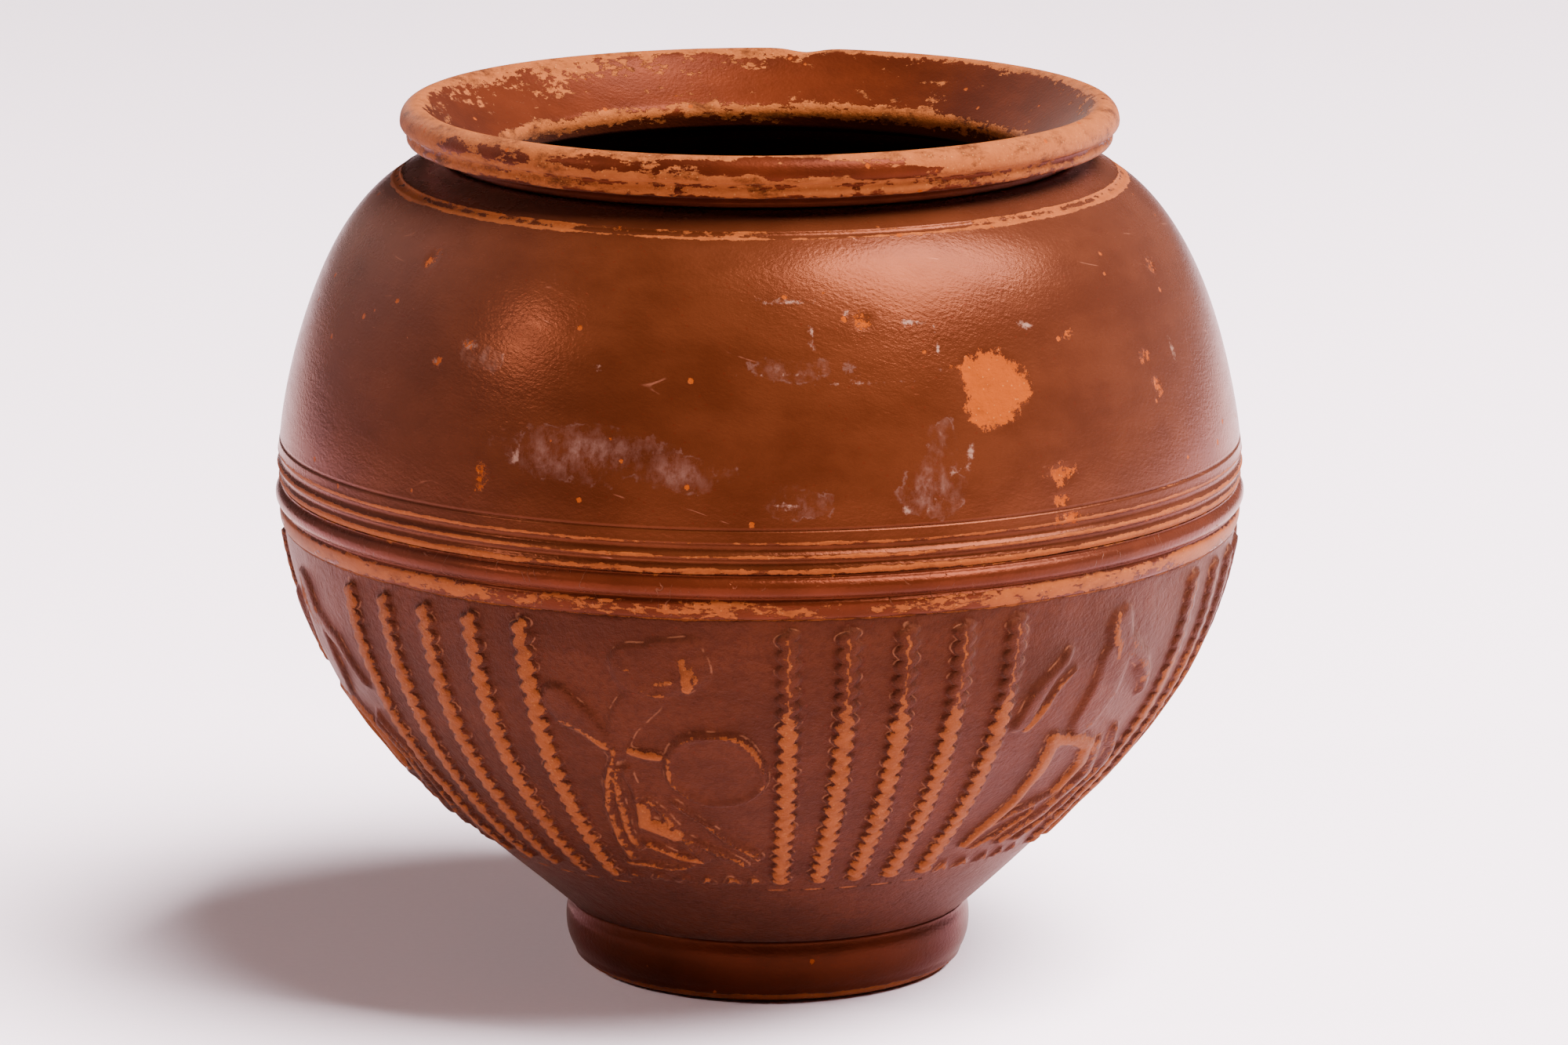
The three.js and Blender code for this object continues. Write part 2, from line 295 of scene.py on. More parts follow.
@dataclass(frozen=True)
class Stroke:
    """One raised stroke of a figure, from place to place, as an angle in degrees and a height."""

    start: Place
    end: Place
    widths: tuple[float, float]
    rise: float
    worn: float

    def on_wall(self, arc_at: Callable[[float], float]) -> "Stroke":
        """Turn the stroke's heights into distances up the wall."""
        start, end = ((angle, arc_at(height)) for angle, height in (self.start, self.end))
        return Stroke(start, end, self.widths, self.rise, self.worn)

    def depth(self, angle: float, arc: float, scale: float) -> float:
        """Give how deep a point lies inside a stroke that is on the wall.

        Args:
            angle: The point's angle from the panel's middle, in degrees.
            arc: The point's distance up the wall, in millimetres.
            scale: Millimetres along the wall for each degree.

        Returns:
            The depth in millimetres, below 0 outside.
        """
        ax, ay = (self.start[0] - angle) * scale, self.start[1] - arc
        bx, by = (self.end[0] - angle) * scale, self.end[1] - arc
        dx, dy = bx - ax, by - ay
        t = min(1.0, max(0.0, -(ax * dx + ay * dy) / max(1e-9, dx * dx + dy * dy)))
        width = self.widths[0] + (self.widths[1] - self.widths[0]) * t
        return width - math.hypot(ax + dx * t, ay + dy * t)


def path(places: Sequence[Place], widths: Sequence[float], rise: float, worn: float) -> list[Stroke]:
    """Chain strokes along a bent line.

    Args:
        places: Angle and height of each bend.
        widths: Half width at each bend, in millimetres.
        rise: Share of the full relief.
        worn: How far the crest is worn, from 0 to 1.

    Returns:
        One stroke for each leg.
    """
    legs = zip(places, places[1:], widths, widths[1:])
    return [Stroke(a, b, (c, d), rise, worn) for a, b, c, d in legs]


def crescents(angles: Sequence[float]) -> list[Stroke]:
    """Set small worn crescents side by side along the lower border.

    Args:
        angles: Angle of each from the panel's middle, in degrees.

    Returns:
        Two strokes for each.
    """
    strokes = []
    for angle in angles:
        strokes.append(Stroke((angle - 1.1, 25.9), (angle, 27.0), (0.6, 0.8), 0.7, 0.75))
        strokes.append(Stroke((angle, 27.0), (angle + 1.2, 26.0), (0.8, 0.6), 0.7, 0.85))
    return strokes


DRAPED_FIGURE = [
    Stroke((-1.6, 68.6), (3.6, 69.4), (5.2, 4.9), 0.5, 0.0),
    Stroke((0.4, 72.6), (4.8, 72.8), (1.9, 1.8), 0.55, 0.1),
    Stroke((3.7, 70.4), (3.9, 65.6), (0.9, 1.2), 1.1, 1.0),
    Stroke((4.8, 69.0), (5.4, 66.9), (0.9, 0.9), 1.1, 0.9),
    Stroke((-3.9, 68.6), (-2.6, 67.9), (0.8, 0.7), 1.1, 0.9),
    Stroke((-2.3, 65.2), (1.0, 64.3), (0.6, 0.8), 1.1, 0.9),
    Stroke((0.0, 66.5), (1.9, 66.9), (0.6, 0.9), 1.1, 0.8),
    *path([(-12.6, 61.8), (-9.8, 58.2), (-7.4, 54.6)], [3.3, 2.8, 1.8], 0.8, 0.1),
    *path([(-12.8, 58.6), (-10.4, 56.2), (-7.6, 54.4)], [0.8, 0.8, 1.3], 1.1, 1.0),
    *path([(-1.5, 63.5), (-4.6, 58.5), (-6.0, 53.5)], [3.6, 3.0, 2.6], 0.35, 0.0),
    Stroke((-3.8, 53.4), (-0.7, 52.6), (1.0, 1.3), 1.0, 1.0),
    *path([(-6.3, 53.5), (-8.2, 47.5), (-9.6, 42.0)], [0.8, 1.0, 1.1], 1.0, 0.7),
    *path([(-9.6, 42.0), (-9.9, 36.5), (-9.8, 31.0)], [1.1, 1.1, 1.2], 1.0, 0.7),
    *path([(-6.4, 50.0), (-7.3, 45.6), (-8.0, 37.0), (-7.8, 33.0)], [0.8, 1.1, 1.1, 1.0], 1.0, 0.75),
    *path([(-5.2, 50.0), (-4.7, 45.0), (-5.3, 38.0)], [1.2, 0.9, 0.9], 0.9, 0.3),
    *path([(-4.3, 43.0), (-4.4, 39.0), (-0.5, 36.8)], [1.2, 1.8, 1.9], 1.0, 0.9),
    *path([(-3.0, 44.0), (0.2, 37.5), (3.2, 31.5)], [0.8, 1.0, 1.0], 0.9, 0.6),
    *path([(0.5, 43.2), (6.0, 37.8), (12.2, 32.3)], [0.9, 1.0, 1.2], 1.0, 0.65),
    *path([(-6.0, 34.2), (-1.5, 32.4), (3.1, 31.0)], [1.3, 1.2, 1.0], 1.0, 0.85),
    *path([(1.0, 36.2), (6.0, 33.2), (10.0, 30.6)], [0.9, 1.0, 0.9], 1.0, 0.75),
    *path([(-1.5, 39.2), (3.5, 34.4), (6.8, 31.4)], [0.7, 0.8, 0.8], 0.8, 0.55),
    *path([(-11, 29.7), (-4.0, 29.3), (0.0, 29.8)], [0.9, 0.9, 0.7], 0.9, 0.8),
    *crescents((-12.0, -7.0, -2.2, 2.4, 7.0, 11.6)),
]
STRIDING_FIGURE = [
    *path([(-7.6, 67.6), (-10.6, 61.5), (-12.3, 55.6)], [1.2, 2.3, 1.9], 0.9, 0.25),
    *path([(-5.8, 64.5), (-8.8, 58.5), (-11.2, 54.6)], [0.6, 0.9, 1.2], 1.0, 0.85),
    Stroke((0.6, 71.0), (1.6, 67.0), (3.1, 3.3), 0.8, 0.35),
    *path([(1.4, 65.0), (1.0, 59.0), (-0.2, 54.0)], [4.2, 4.6, 3.6], 0.8, 0.3),
    *path([(-0.6, 73.2), (-0.2, 69.0), (1.4, 65.0)], [0.7, 1.2, 0.8], 1.1, 0.95),
    *path([(3.0, 67.0), (7.6, 63.0), (10.6, 57.0)], [2.0, 2.0, 1.5], 0.8, 0.5),
    *path([(-5.2, 51.2), (-4.6, 46.0), (-5.6, 40.0)], [1.8, 2.0, 1.7], 1.0, 1.0),
    *path([(-5.6, 40.0), (-7.6, 35.0), (-10.0, 31.0)], [1.7, 1.5, 1.3], 1.0, 1.0),
    *path([(-5.2, 50.8), (0.0, 50.2), (3.6, 48.6)], [1.6, 1.7, 1.7], 1.0, 0.95),
    *path([(3.6, 48.6), (5.0, 44.6), (3.2, 40.2)], [1.7, 1.9, 1.6], 1.0, 0.95),
    *path([(3.1, 39.3), (-4.0, 36.6), (-7.4, 34.2)], [1.2, 1.3, 1.0], 0.9, 0.5),
    *path([(6.0, 48.0), (9.6, 42.0), (6.0, 34.5), (-1.0, 30.0)], [1.6, 1.8, 1.6, 1.2], 0.9, 0.55),
    *path([(9.0, 50.0), (13.2, 43.0), (11.0, 35.0), (5.0, 29.5)], [1.2, 1.5, 1.4, 1.1], 0.9, 0.55),
    *path([(1.6, 36.0), (-2.0, 32.6), (-7.0, 29.6)], [0.9, 1.0, 0.8], 0.9, 0.8),
    *crescents((-11.0, -6.2, -1.4, 3.6, 8.4)),
]
FIGURES = {Figure.DRAPED: DRAPED_FIGURE, Figure.STRIDING: STRIDING_FIGURE}


@dataclass(frozen=True)
class Shield:
    """A round shield with a raised rim, beside the draped figure."""

    centre: Place = (6.8, 50.3)
    radius: float = 8.8
    rim_width: float = 1.7
    field_rise: float = 0.55

    def relief(self, angle: float, arc: float, scale: float, middle: float) -> tuple[float, float, float]:
        """Give the shield's depth, rise and wear at a point.

        Args:
            angle: The point's angle from the panel's middle, in degrees.
            arc: The point's distance up the wall, in millimetres.
            scale: Millimetres along the wall for each degree.
            middle: Distance of the shield's middle up the wall, in millimetres.

        Returns:
            Depth in millimetres, share of the relief and wear.
        """
        across = (self.centre[0] - angle) * scale
        up = middle - arc
        depth = self.radius - math.hypot(across, up)
        rim = 1 - abs(2 * depth / self.rim_width - 1)
        rise = self.field_rise * blend_step(depth, 0, 0.8) + (1 - self.field_rise) * blend_step(rim, 0, 0.8)
        lower_left = 0.5 + 0.5 * math.sin(math.atan2(up, across) * 2 + 0.6)
        return depth, rise, blend_step(rim, 0, 0.7) * (0.45 + 0.4 * lower_left)


@dataclass
class Recipe:
    """Writes one material, each call adding a node and giving its output."""

    name: str

    def __post_init__(self) -> None:
        """Start an empty material."""
        self.material = bpy.data.materials.new(self.name)
        self.material.use_nodes = True
        self.tree = self.material.node_tree
        self.tree.nodes.clear()
        place = self.node("ShaderNodeTexCoord").outputs["Object"]
        scaled = self.node("ShaderNodeVectorMath", {0: place, 3: 1 / MM}, operation="SCALE")
        self.position = scaled.outputs[0]

    def node(self, kind: str, inputs: dict | None = None, **settings: object) -> bpy.types.Node:
        """Add a node.

        Args:
            kind: The node's type.
            inputs: A value or an output for each named or numbered input.
            settings: Values for the node's own properties.

        Returns:
            The node.
        """
        made = self.tree.nodes.new(kind)
        for key, value in settings.items():
            setattr(made, key, value)
        for key, value in (inputs or {}).items():
            if isinstance(value, bpy.types.NodeSocket):
                self.tree.links.new(value, made.inputs[key])
            elif isinstance(value, tuple) and made.inputs[key].type == "RGBA":
                made.inputs[key].default_value = (*value, 1)
            else:
                made.inputs[key].default_value = value
        return made

    def value(self, layer: Layer) -> bpy.types.NodeSocket:
        """Read a value that the mesh carries."""
        return self.node("ShaderNodeAttribute", attribute_name=layer.value).outputs["Fac"]

    def axis(self, name: str) -> bpy.types.NodeSocket:
        """Give one coordinate of the place, in millimetres."""
        return self.node("ShaderNodeSeparateXYZ", {0: self.position}).outputs[name]

    def math(self, operation: str, *values: object) -> bpy.types.NodeSocket:
        """Work out a number.

        Args:
            operation: The sum to do.
            values: Numbers or outputs.

        Returns:
            The result.
        """
        return self.node("ShaderNodeMath", dict(enumerate(values)), operation=operation).outputs[0]

    def turn(self) -> bpy.types.NodeSocket:
        """Give the angle round the axis in radians, from the front toward the right."""
        return self.math("ARCTAN2", self.axis("X"), self.times(self.axis("Y"), -1.0))

    def times(self, first: object, *others: object) -> object:
        """Multiply numbers or outputs, from the first to the last."""
        for other in others:
            first = self.math("MULTIPLY", first, other)
        return first

    def reach(self, across: object, along: object) -> bpy.types.NodeSocket:
        """Give the straight distance of a way across and a way along."""
        return self.math("SQRT", self.math("ADD", self.times(across, across), self.times(along, along)))

    def gap(self, value: object, middle: float) -> bpy.types.NodeSocket:
        """Give how far a value lies from a middle one, on either side."""
        return self.math("ABSOLUTE", self.math("SUBTRACT", value, middle))

    def sway(self, noise_value: object, reach: float, start: object) -> bpy.types.NodeSocket:
        """Sway a value to both sides by a noise.

        Args:
            noise_value: The noise, around 0.5.
            reach: What a full step of the noise adds.
            start: The value to sway.

        Returns:
            The swayed value.
        """
        return self.math("MULTIPLY_ADD", self.math("SUBTRACT", noise_value, 0.5), reach, start)

    def share(self, value: object, low: float, high: float) -> bpy.types.NodeSocket:
        """Rise smoothly from 0 at one value to 1 at another.

        Args:
            value: The output to read.
            low: The value that gives 0.
            high: The value that gives 1.

        Returns:
            The share between 0 and 1.
        """
        inputs = {"Value": value, "From Min": low, "From Max": high}
        return self.node("ShaderNodeMapRange", inputs, interpolation_type="SMOOTHSTEP").outputs["Result"]

    def clouds(
        self,
        size: float,
        detail: float = 3,
        rough: float = 0.55,
        stretch: Color = (1, 1, 1),
        shift: float = 0,
        slant: float = 0,
    ) -> bpy.types.NodeSocket:
        """Give soft noise.

        Args:
            size: Size of the largest patches, in millimetres.
            detail: How many finer layers it has.
            rough: How strong the finer layers are.
            stretch: How much each axis is squeezed.
            shift: Moves the pattern, so that two of them differ.
            slant: Turns the stretch in the vessel's front view, in degrees.

        Returns:
            The noise, around 0.5.
        """
        start = self.position
        if slant:
            turn = {"Vector": start, "Angle": math.radians(slant)}
            start = self.node("ShaderNodeVectorRotate", turn, rotation_type="Y_AXIS").outputs[0]
        place = self.node("ShaderNodeMapping", {"Vector": start, "Scale": stretch, "Location": (shift,) * 3})
        inputs = {"Vector": place.outputs[0], "Scale": 1 / size, "Detail": detail, "Roughness": rough}
        return self.node("ShaderNodeTexNoise", inputs).outputs["Fac"]

    def cells(self, size: float) -> bpy.types.NodeSocket:
        """Give the distance from the middles of cells, whose size is in millimetres."""
        inputs = {"Vector": self.position, "Scale": 1 / size}
        return self.node("ShaderNodeTexVoronoi", inputs).outputs["Distance"]

    def mix(self, share: object, low: object, high: object) -> bpy.types.NodeSocket:
        """Blend two colours.

        Args:
            share: How much of the second colour.
            low: The first colour.
            high: The second colour.

        Returns:
            The blended colour.
        """
        return self.node("ShaderNodeMix", {0: share, 6: low, 7: high}, data_type="RGBA").outputs[2]

    def ease(self, share: object, low: object, high: object) -> bpy.types.NodeSocket:
        """Blend two numbers.

        Args:
            share: How much of the second number.
            low: The first number.
            high: The second number.

        Returns:
            The blended number.
        """
        return self.node("ShaderNodeMix", {0: share, 2: low, 3: high}, data_type="FLOAT").outputs[0]

    def bump(self, height: object, depth: float, base: object = None) -> bpy.types.NodeSocket:
        """Tilt the surface by a height pattern.

        Args:
            height: The pattern, from 0 to 1.
            depth: What 1 stands for, in millimetres.
            base: Normal of an earlier bump.

        Returns:
            The tilted normal.
        """
        inputs = {"Height": height, "Distance": depth * MM, "Strength": 1.0}
        if base is not None:
            inputs["Normal"] = base
        return self.node("ShaderNodeBump", inputs).outputs["Normal"]

    def close(self, tint: object, rough: object, normal: object, **further: object) -> bpy.types.Material:
        """Join colour, roughness and normal into the surface.

        Args:
            tint: The colour.
            rough: The roughness.
            normal: The normal.
            further: Values or outputs for further inputs.

        Returns:
            The finished material.
        """
        inputs = {"Base Color": tint, "Roughness": rough, "Normal": normal}
        inputs.update({key.replace("_", " "): value for key, value in further.items()})
        surface = self.node("ShaderNodeBsdfPrincipled", inputs)
        self.node("ShaderNodeOutputMaterial", {"Surface": surface.outputs[0]})
        return self.material


@dataclass(frozen=True)
class Clay:
    """The fired orange clay that shows wherever the slip has worn away."""

    pale: Color = color(124, 66, 32)
    deep: Color = color(96, 47, 22)
    grain: float = 0.35
    dirt: float = 0.45

    def tint(self, recipe: Recipe) -> bpy.types.NodeSocket:
        """Give the clay's colour with its grain and grit."""
        base = recipe.mix(recipe.clouds(2.4, 5, 0.7), self.deep, self.pale)
        dirt = recipe.share(recipe.clouds(7, 6, 0.78, (1, 1, 2), 33.0), 0.47, 0.7)
        base = recipe.mix(recipe.times(dirt, self.dirt), base, color(50, 25, 14))
        grit = recipe.share(recipe.cells(0.9), 0.2, 0.08)
        return recipe.mix(recipe.times(grit, self.grain), base, color(150, 98, 54))


@dataclass(frozen=True)
class Slip:
    """The glossy red-brown slip, worn through to the clay where its mesh says so."""

    name: str
    body: Color = color(73, 37, 22)
    dark: Color = color(62, 30, 17)
    rough: float = 0.25
    lustre: float = 0.29
    gleam: float = 0.068
    ragged: float = 0.55
    streaks: float = 0.15
    dust: float = 0.02
    side_dust: float = 0.07
    film: bool = False
    clay: Clay = Clay()
    fresh: Clay = Clay(color(124, 56, 11), color(102, 45, 9), 0.4, 0.3)

    def skin(self, recipe: Recipe) -> bpy.types.NodeSocket:
        """Give the colour of the unworn slip: brush streaks, clouds and dark specks."""
        streak = recipe.clouds(26, 4, 0.6, (0.35, 0.35, 9), 3.0)
        cloud = recipe.clouds(18, 4, 0.6, (1, 1, 1.6), 11.0)
        both = recipe.ease(self.streaks, cloud, streak)
        tint = recipe.mix(recipe.share(both, 0.32, 0.68), self.dark, self.body)
        specks = recipe.share(recipe.cells(1.7), 0.17, 0.06)
        return recipe.mix(recipe.times(specks, 0.45), tint, color(70, 26, 14))

    def worn(self, recipe: Recipe) -> bpy.types.NodeSocket:
        """Give where the clay shows, with ragged edges."""
        fine = recipe.clouds(2.2, 5, 0.72, (1, 1, 2.2), 5.0)
        broad = recipe.clouds(9, 3, 0.6, (0.7, 0.7, 2.6), 21.0)
        ragged = recipe.math("ADD", recipe.times(fine, 0.55), recipe.times(broad, 0.45))
        return recipe.share(recipe.sway(ragged, 2 * self.ragged, recipe.value(Layer.WEAR)), 0.47, 0.53)

    def chips(self, recipe: Recipe) -> bpy.types.NodeSocket:
        """Give where a flake of slip is gone."""
        bites = recipe.clouds(2.2, 6, 0.85, shift=8.0)
        edge = recipe.math("MULTIPLY_ADD", bites, 8.0, recipe.value(Layer.CHIP))
        crumbs = recipe.math("MULTIPLY_ADD", recipe.clouds(1.0, 4, 0.8), 0.14, recipe.cells(7.0))
        return recipe.math("MAXIMUM", recipe.share(edge, 4.0, 4.2), recipe.share(crumbs, 0.142, 0.13))

    def make(self) -> bpy.types.Material:
        """Write the slip's material.

        Returns:
            The material.
        """
        recipe = Recipe(self.name)
        rubbed, chipped = self.worn(recipe), self.chips(recipe)
        worn = recipe.math("MAXIMUM", rubbed, chipped)
        tint = self.skin(recipe)
        patchy = recipe.clouds(7, 4, 0.65, (0.6, 0.6, 2.5), 2.0)
        rough = recipe.ease(patchy, self.rough - 0.07, self.rough + 0.1)
        if self.film:
            tint, rough = Film().lay(recipe, tint, rough)
        tint = recipe.mix(rubbed, tint, self.clay.tint(recipe))
        tint = recipe.mix(chipped, tint, self.fresh.tint(recipe))
        rough = recipe.ease(worn, rough, 0.75)
        thick = recipe.math("SUBTRACT", 1.0, worn)
        grit = recipe.times(worn, recipe.clouds(0.9, 4, 0.75, shift=6.0))
        normal = recipe.bump(recipe.math("ADD", thick, grit), 0.14)
        return self.finish(recipe, tint, rough, self.glints(recipe, normal), thick)

    @staticmethod
    def glints(recipe: Recipe, base: object) -> bpy.types.NodeSocket:
        """Break the gloss into glints with brush ridges and fine pimples.

        Args:
            recipe: The material's recipe.
            base: Normal of an earlier bump.

        Returns:
            The tilted normal.
        """
        normal = recipe.bump(recipe.clouds(3.2, 4, 0.6, (0.4, 0.4, 1.8), 1.0, -24), 0.03, base)
        normal = recipe.bump(recipe.clouds(2.0, 4, 0.7, (0.14, 0.3, 2.4), 9.0, -24), 0.04, normal)
        return recipe.bump(recipe.clouds(0.6, 2, 0.6, (0.8, 0.8, 1.2), 4.0), 0.06, normal)

    def finish(
        self, recipe: Recipe, tint: object, rough: object, normal: object, thick: object
    ) -> bpy.types.Material:
        """Close the material with the slip's lustre and the dust that dulls its sides.

        Args:
            recipe: The material's recipe.
            tint: The colour.
            rough: The roughness.
            normal: The normal.
            thick: Where slip covers the clay, from 0 to 1.

        Returns:
            The finished material.
        """
        side = recipe.share(recipe.gap(recipe.axis("X"), 0.0), 18.0, 62.0)
        return recipe.close(
            tint,
            rough,
            normal,
            Metallic=recipe.times(thick, self.lustre),
            Specular_IOR_Level=self.gleam,
            Specular_Tint=GLOSS_TINT,
            Sheen_Weight=recipe.ease(side, self.dust, self.side_dust),
            Sheen_Tint=DUST_TINT,
        )


@dataclass(frozen=True)
class Film:
    """A dried film and crusts of soil that cling to the shoulder, with painted highlights: pale lines along
    the film's ridges and two long thin marks among the crusts stand for glints.
    """

    haze: Color = color(98, 71, 62)
    # Colour of the crusts, also used for thin painted highlight lines that stand for glints.
    ridge_glint: Color = color(150, 92, 70)
    # Colour of the painted highlight lines that stand for glints on the film's ridges.
    crust_and_glint: Color = color(140, 108, 94)

    def lay(self, recipe: Recipe, tint: object, rough: object) -> tuple[object, object]:
        """Lay the film and the crusts over a slip, with painted highlight lines for glints.

        Args:
            recipe: The material's recipe.
            tint: The slip's colour.
            rough: The slip's roughness.

        Returns:
            The changed colour and roughness.
        """
        film = recipe.value(Layer.FILM)
        drift = recipe.math("MULTIPLY_ADD", recipe.clouds(6, 6, 0.68, shift=14.0), 7.0, film)
        feathers = recipe.share(recipe.clouds(5, 6, 0.72, (1.6, 1.6, 1), 37.0), 0.38, 0.72)
        feathers = recipe.math("POWER", feathers, 1.4)
        sheet = recipe.math("MULTIPLY_ADD", recipe.share(drift, 3.1, 3.5), 0.3, recipe.share(drift, 2.9, 7.0))
        haze = recipe.times(sheet, feathers)
        rim = recipe.share(recipe.gap(drift, 3.2), 0.3, 0.06)
        broken = recipe.share(recipe.clouds(3.0, 3, 0.6, shift=31.0), 0.5, 0.62)
        line = recipe.times(rim, broken, 0.4)
        cover = recipe.math("MINIMUM", recipe.math("MAXIMUM", line, recipe.times(haze, 0.75)), 1.0)
        tint = recipe.mix(cover, tint, self.haze)
        # Painted highlight: thin pale lines, broken up by a noise, stand for the glints that the film's
        # ridges catch.
        ridge_glint = recipe.gap(recipe.clouds(20, 1.4, 0.5, (0.55, 0.55, 1.7), 81.0, -9), 0.5)
        some = recipe.share(recipe.clouds(13, 4, 0.7, shift=91.0), 0.58, 0.66)
        ridge_glint = recipe.times(recipe.share(ridge_glint, 0.0035, 0.001), some)
        tint = recipe.mix(recipe.times(ridge_glint, 0.32), tint, self.ridge_glint)
        # Crusts, among them two thin painted highlight lines that stand for glints, in a pale colour.
        crumbs = recipe.clouds(1.6, 5, 0.75, shift=27.0)
        ragged = recipe.math("MULTIPLY_ADD", crumbs, 3.0, recipe.value(Layer.CRUST))
        crust_and_glint = recipe.share(ragged, 1.6, 2.2)
        tint = recipe.mix(recipe.times(crust_and_glint, 0.5), tint, self.crust_and_glint)
        return tint, recipe.math("MULTIPLY_ADD", recipe.math("MAXIMUM", haze, crust_and_glint), 0.25, rough)


@dataclass(frozen=True)
class ReliefSlip(Slip):
    """The duller slip of the moulded zone, rubbed through on columns and figures."""

    dull: float = 0.46
    pitch: float = 2.75
    lobe: float = 0.95
    lobe_middle: float = 0.62
    half_top: float = 2.05
    half_low: float = 1.7
    group_period: float = 60.0
    first_group: float = 17.3
    column_pitch: float = 7.0
    length: float = 60.0

    def column_edge(self, recipe: Recipe) -> bpy.types.NodeSocket:
        """Give the distance inside the nearest wavy column, in millimetres.

        Args:
            recipe: The material's recipe.

        Returns:
            The distance, below 0 outside.
        """
        x, y = recipe.axis("X"), recipe.axis("Y")
        angle = recipe.math("MULTIPLY_ADD", recipe.turn(), 180 / math.pi, recipe.value(Layer.WOBBLE))
        local = recipe.math("SUBTRACT", angle, self.first_group)
        half = self.group_period / 2
        local = recipe.math("WRAP", local, half, -half)
        index = recipe.math("ROUND", recipe.math("DIVIDE", local, self.column_pitch))
        index = recipe.math("MINIMUM", recipe.math("MAXIMUM", index, -2.0), 2.0)
        off = recipe.math("SUBTRACT", local, recipe.times(index, self.column_pitch))
        radius = recipe.reach(x, y)
        across = recipe.times(off, math.pi / 180, radius)
        along = recipe.value(Layer.ALONG)
        slope = (self.half_low - self.half_top) / self.length
        half = recipe.math("MULTIPLY_ADD", along, slope, self.half_top)
        side = recipe.times(recipe.math("SIGN", across), 0.25)
        phase = recipe.math("MULTIPLY_ADD", along, 1 / self.pitch, side)
        lobe = recipe.math("ABSOLUTE", recipe.math("SINE", recipe.times(phase, math.pi)))
        lobe = recipe.math("SUBTRACT", lobe, self.lobe_middle)
        half = recipe.math("MULTIPLY_ADD", lobe, self.lobe, half)
        past = recipe.math("SUBTRACT", self.half_top, along)
        past = recipe.math("MAXIMUM", past, recipe.math("SUBTRACT", along, self.length - self.half_low))
        past = recipe.math("MAXIMUM", past, 0.0)
        return recipe.math("SUBTRACT", half, recipe.reach(past, across))

    @staticmethod
    def crests_worn(recipe: Recipe, column: object, fine: object, broad: object) -> bpy.types.NodeSocket:
        """Give where the columns' crests show clay: low down, and at the left side of the front.

        Args:
            recipe: The material's recipe.
            column: Distance inside the nearest column.
            fine: Fine noise that frays the edges.
            broad: Broad noise that makes patches.

        Returns:
            The worn share, from 0 to 1.
        """
        low = recipe.share(recipe.value(Layer.ALONG), 9.0, 26.0)
        left = recipe.times(recipe.share(recipe.axis("X"), -12.0, -42.0), 0.42)
        rubbed = recipe.math("ADD", recipe.math("MULTIPLY_ADD", low, 0.75, broad), left)
        rubbed = recipe.times(recipe.share(rubbed, 0.6, 0.95), 1.4)
        crest = recipe.math("ADD", recipe.math("SUBTRACT", column, 1.9), rubbed)
        return recipe.share(recipe.sway(fine, 2.9, crest), 0.0, 0.12)

    @staticmethod
    def figures_worn(recipe: Recipe, fine: object, broad: object) -> bpy.types.NodeSocket:
        """Give where the figures show clay.

        Args:
            recipe: The material's recipe.
            fine: Fine noise that frays the edges.
            broad: Broad noise that makes patches.

        Returns:
            The worn share, from 0 to 1.
        """
        pushed = recipe.sway(broad, 1.5, recipe.sway(fine, 1.9, recipe.value(Layer.FIGURE_WEAR)))
        return recipe.share(pushed, 0.55, 0.63)

    @staticmethod
    def grain(recipe: Recipe, column: object, figure: object, worn: object) -> bpy.types.NodeSocket:
        """Give the normal with crisp relief edges and the coarse grain of the mould.

        Args:
            recipe: The material's recipe.
            column: Distance inside the nearest column.
            figure: Distance inside the nearest figure.
            worn: Where the clay shows.

        Returns:
            The tilted normal.
        """
        normal = recipe.bump(recipe.share(column, -0.1, 0.75), 0.35)
        normal = recipe.bump(recipe.share(figure, -0.4, 1.0), 0.3, normal)
        normal = recipe.bump(recipe.math("SUBTRACT", 1.0, worn), 0.1, normal)
        normal = recipe.bump(recipe.clouds(2.4, 6, 0.75, shift=1.0), 0.55, normal)
        return recipe.bump(recipe.clouds(0.7, 3, 0.7, shift=15.0), 0.14, normal)

    def make(self) -> bpy.types.Material:
        """Write the material of the moulded zone.

        Returns:
            The material.
        """
        recipe = Recipe(self.name)
        fine = recipe.clouds(1.5, 5, 0.75, shift=5.0)
        patches = recipe.clouds(8, 3, 0.6, shift=17.0)
        broad = recipe.ease(0.5, patches, recipe.clouds(34, 2, 0.5, shift=71.0))
        column, figure = self.column_edge(recipe), recipe.value(Layer.FIGURE_EDGE)
        worn = self.crests_worn(recipe, column, fine, broad)
        worn = recipe.math("MAXIMUM", worn, self.figures_worn(recipe, fine, broad))
        worn = recipe.math("MAXIMUM", worn, self.worn(recipe))
        outline = recipe.share(recipe.gap(recipe.math("MAXIMUM", column, figure), 0.0), 0.2, 0.06)
        broken = recipe.share(recipe.clouds(3.4, 3, 0.6, shift=41.0), 0.5, 0.62)
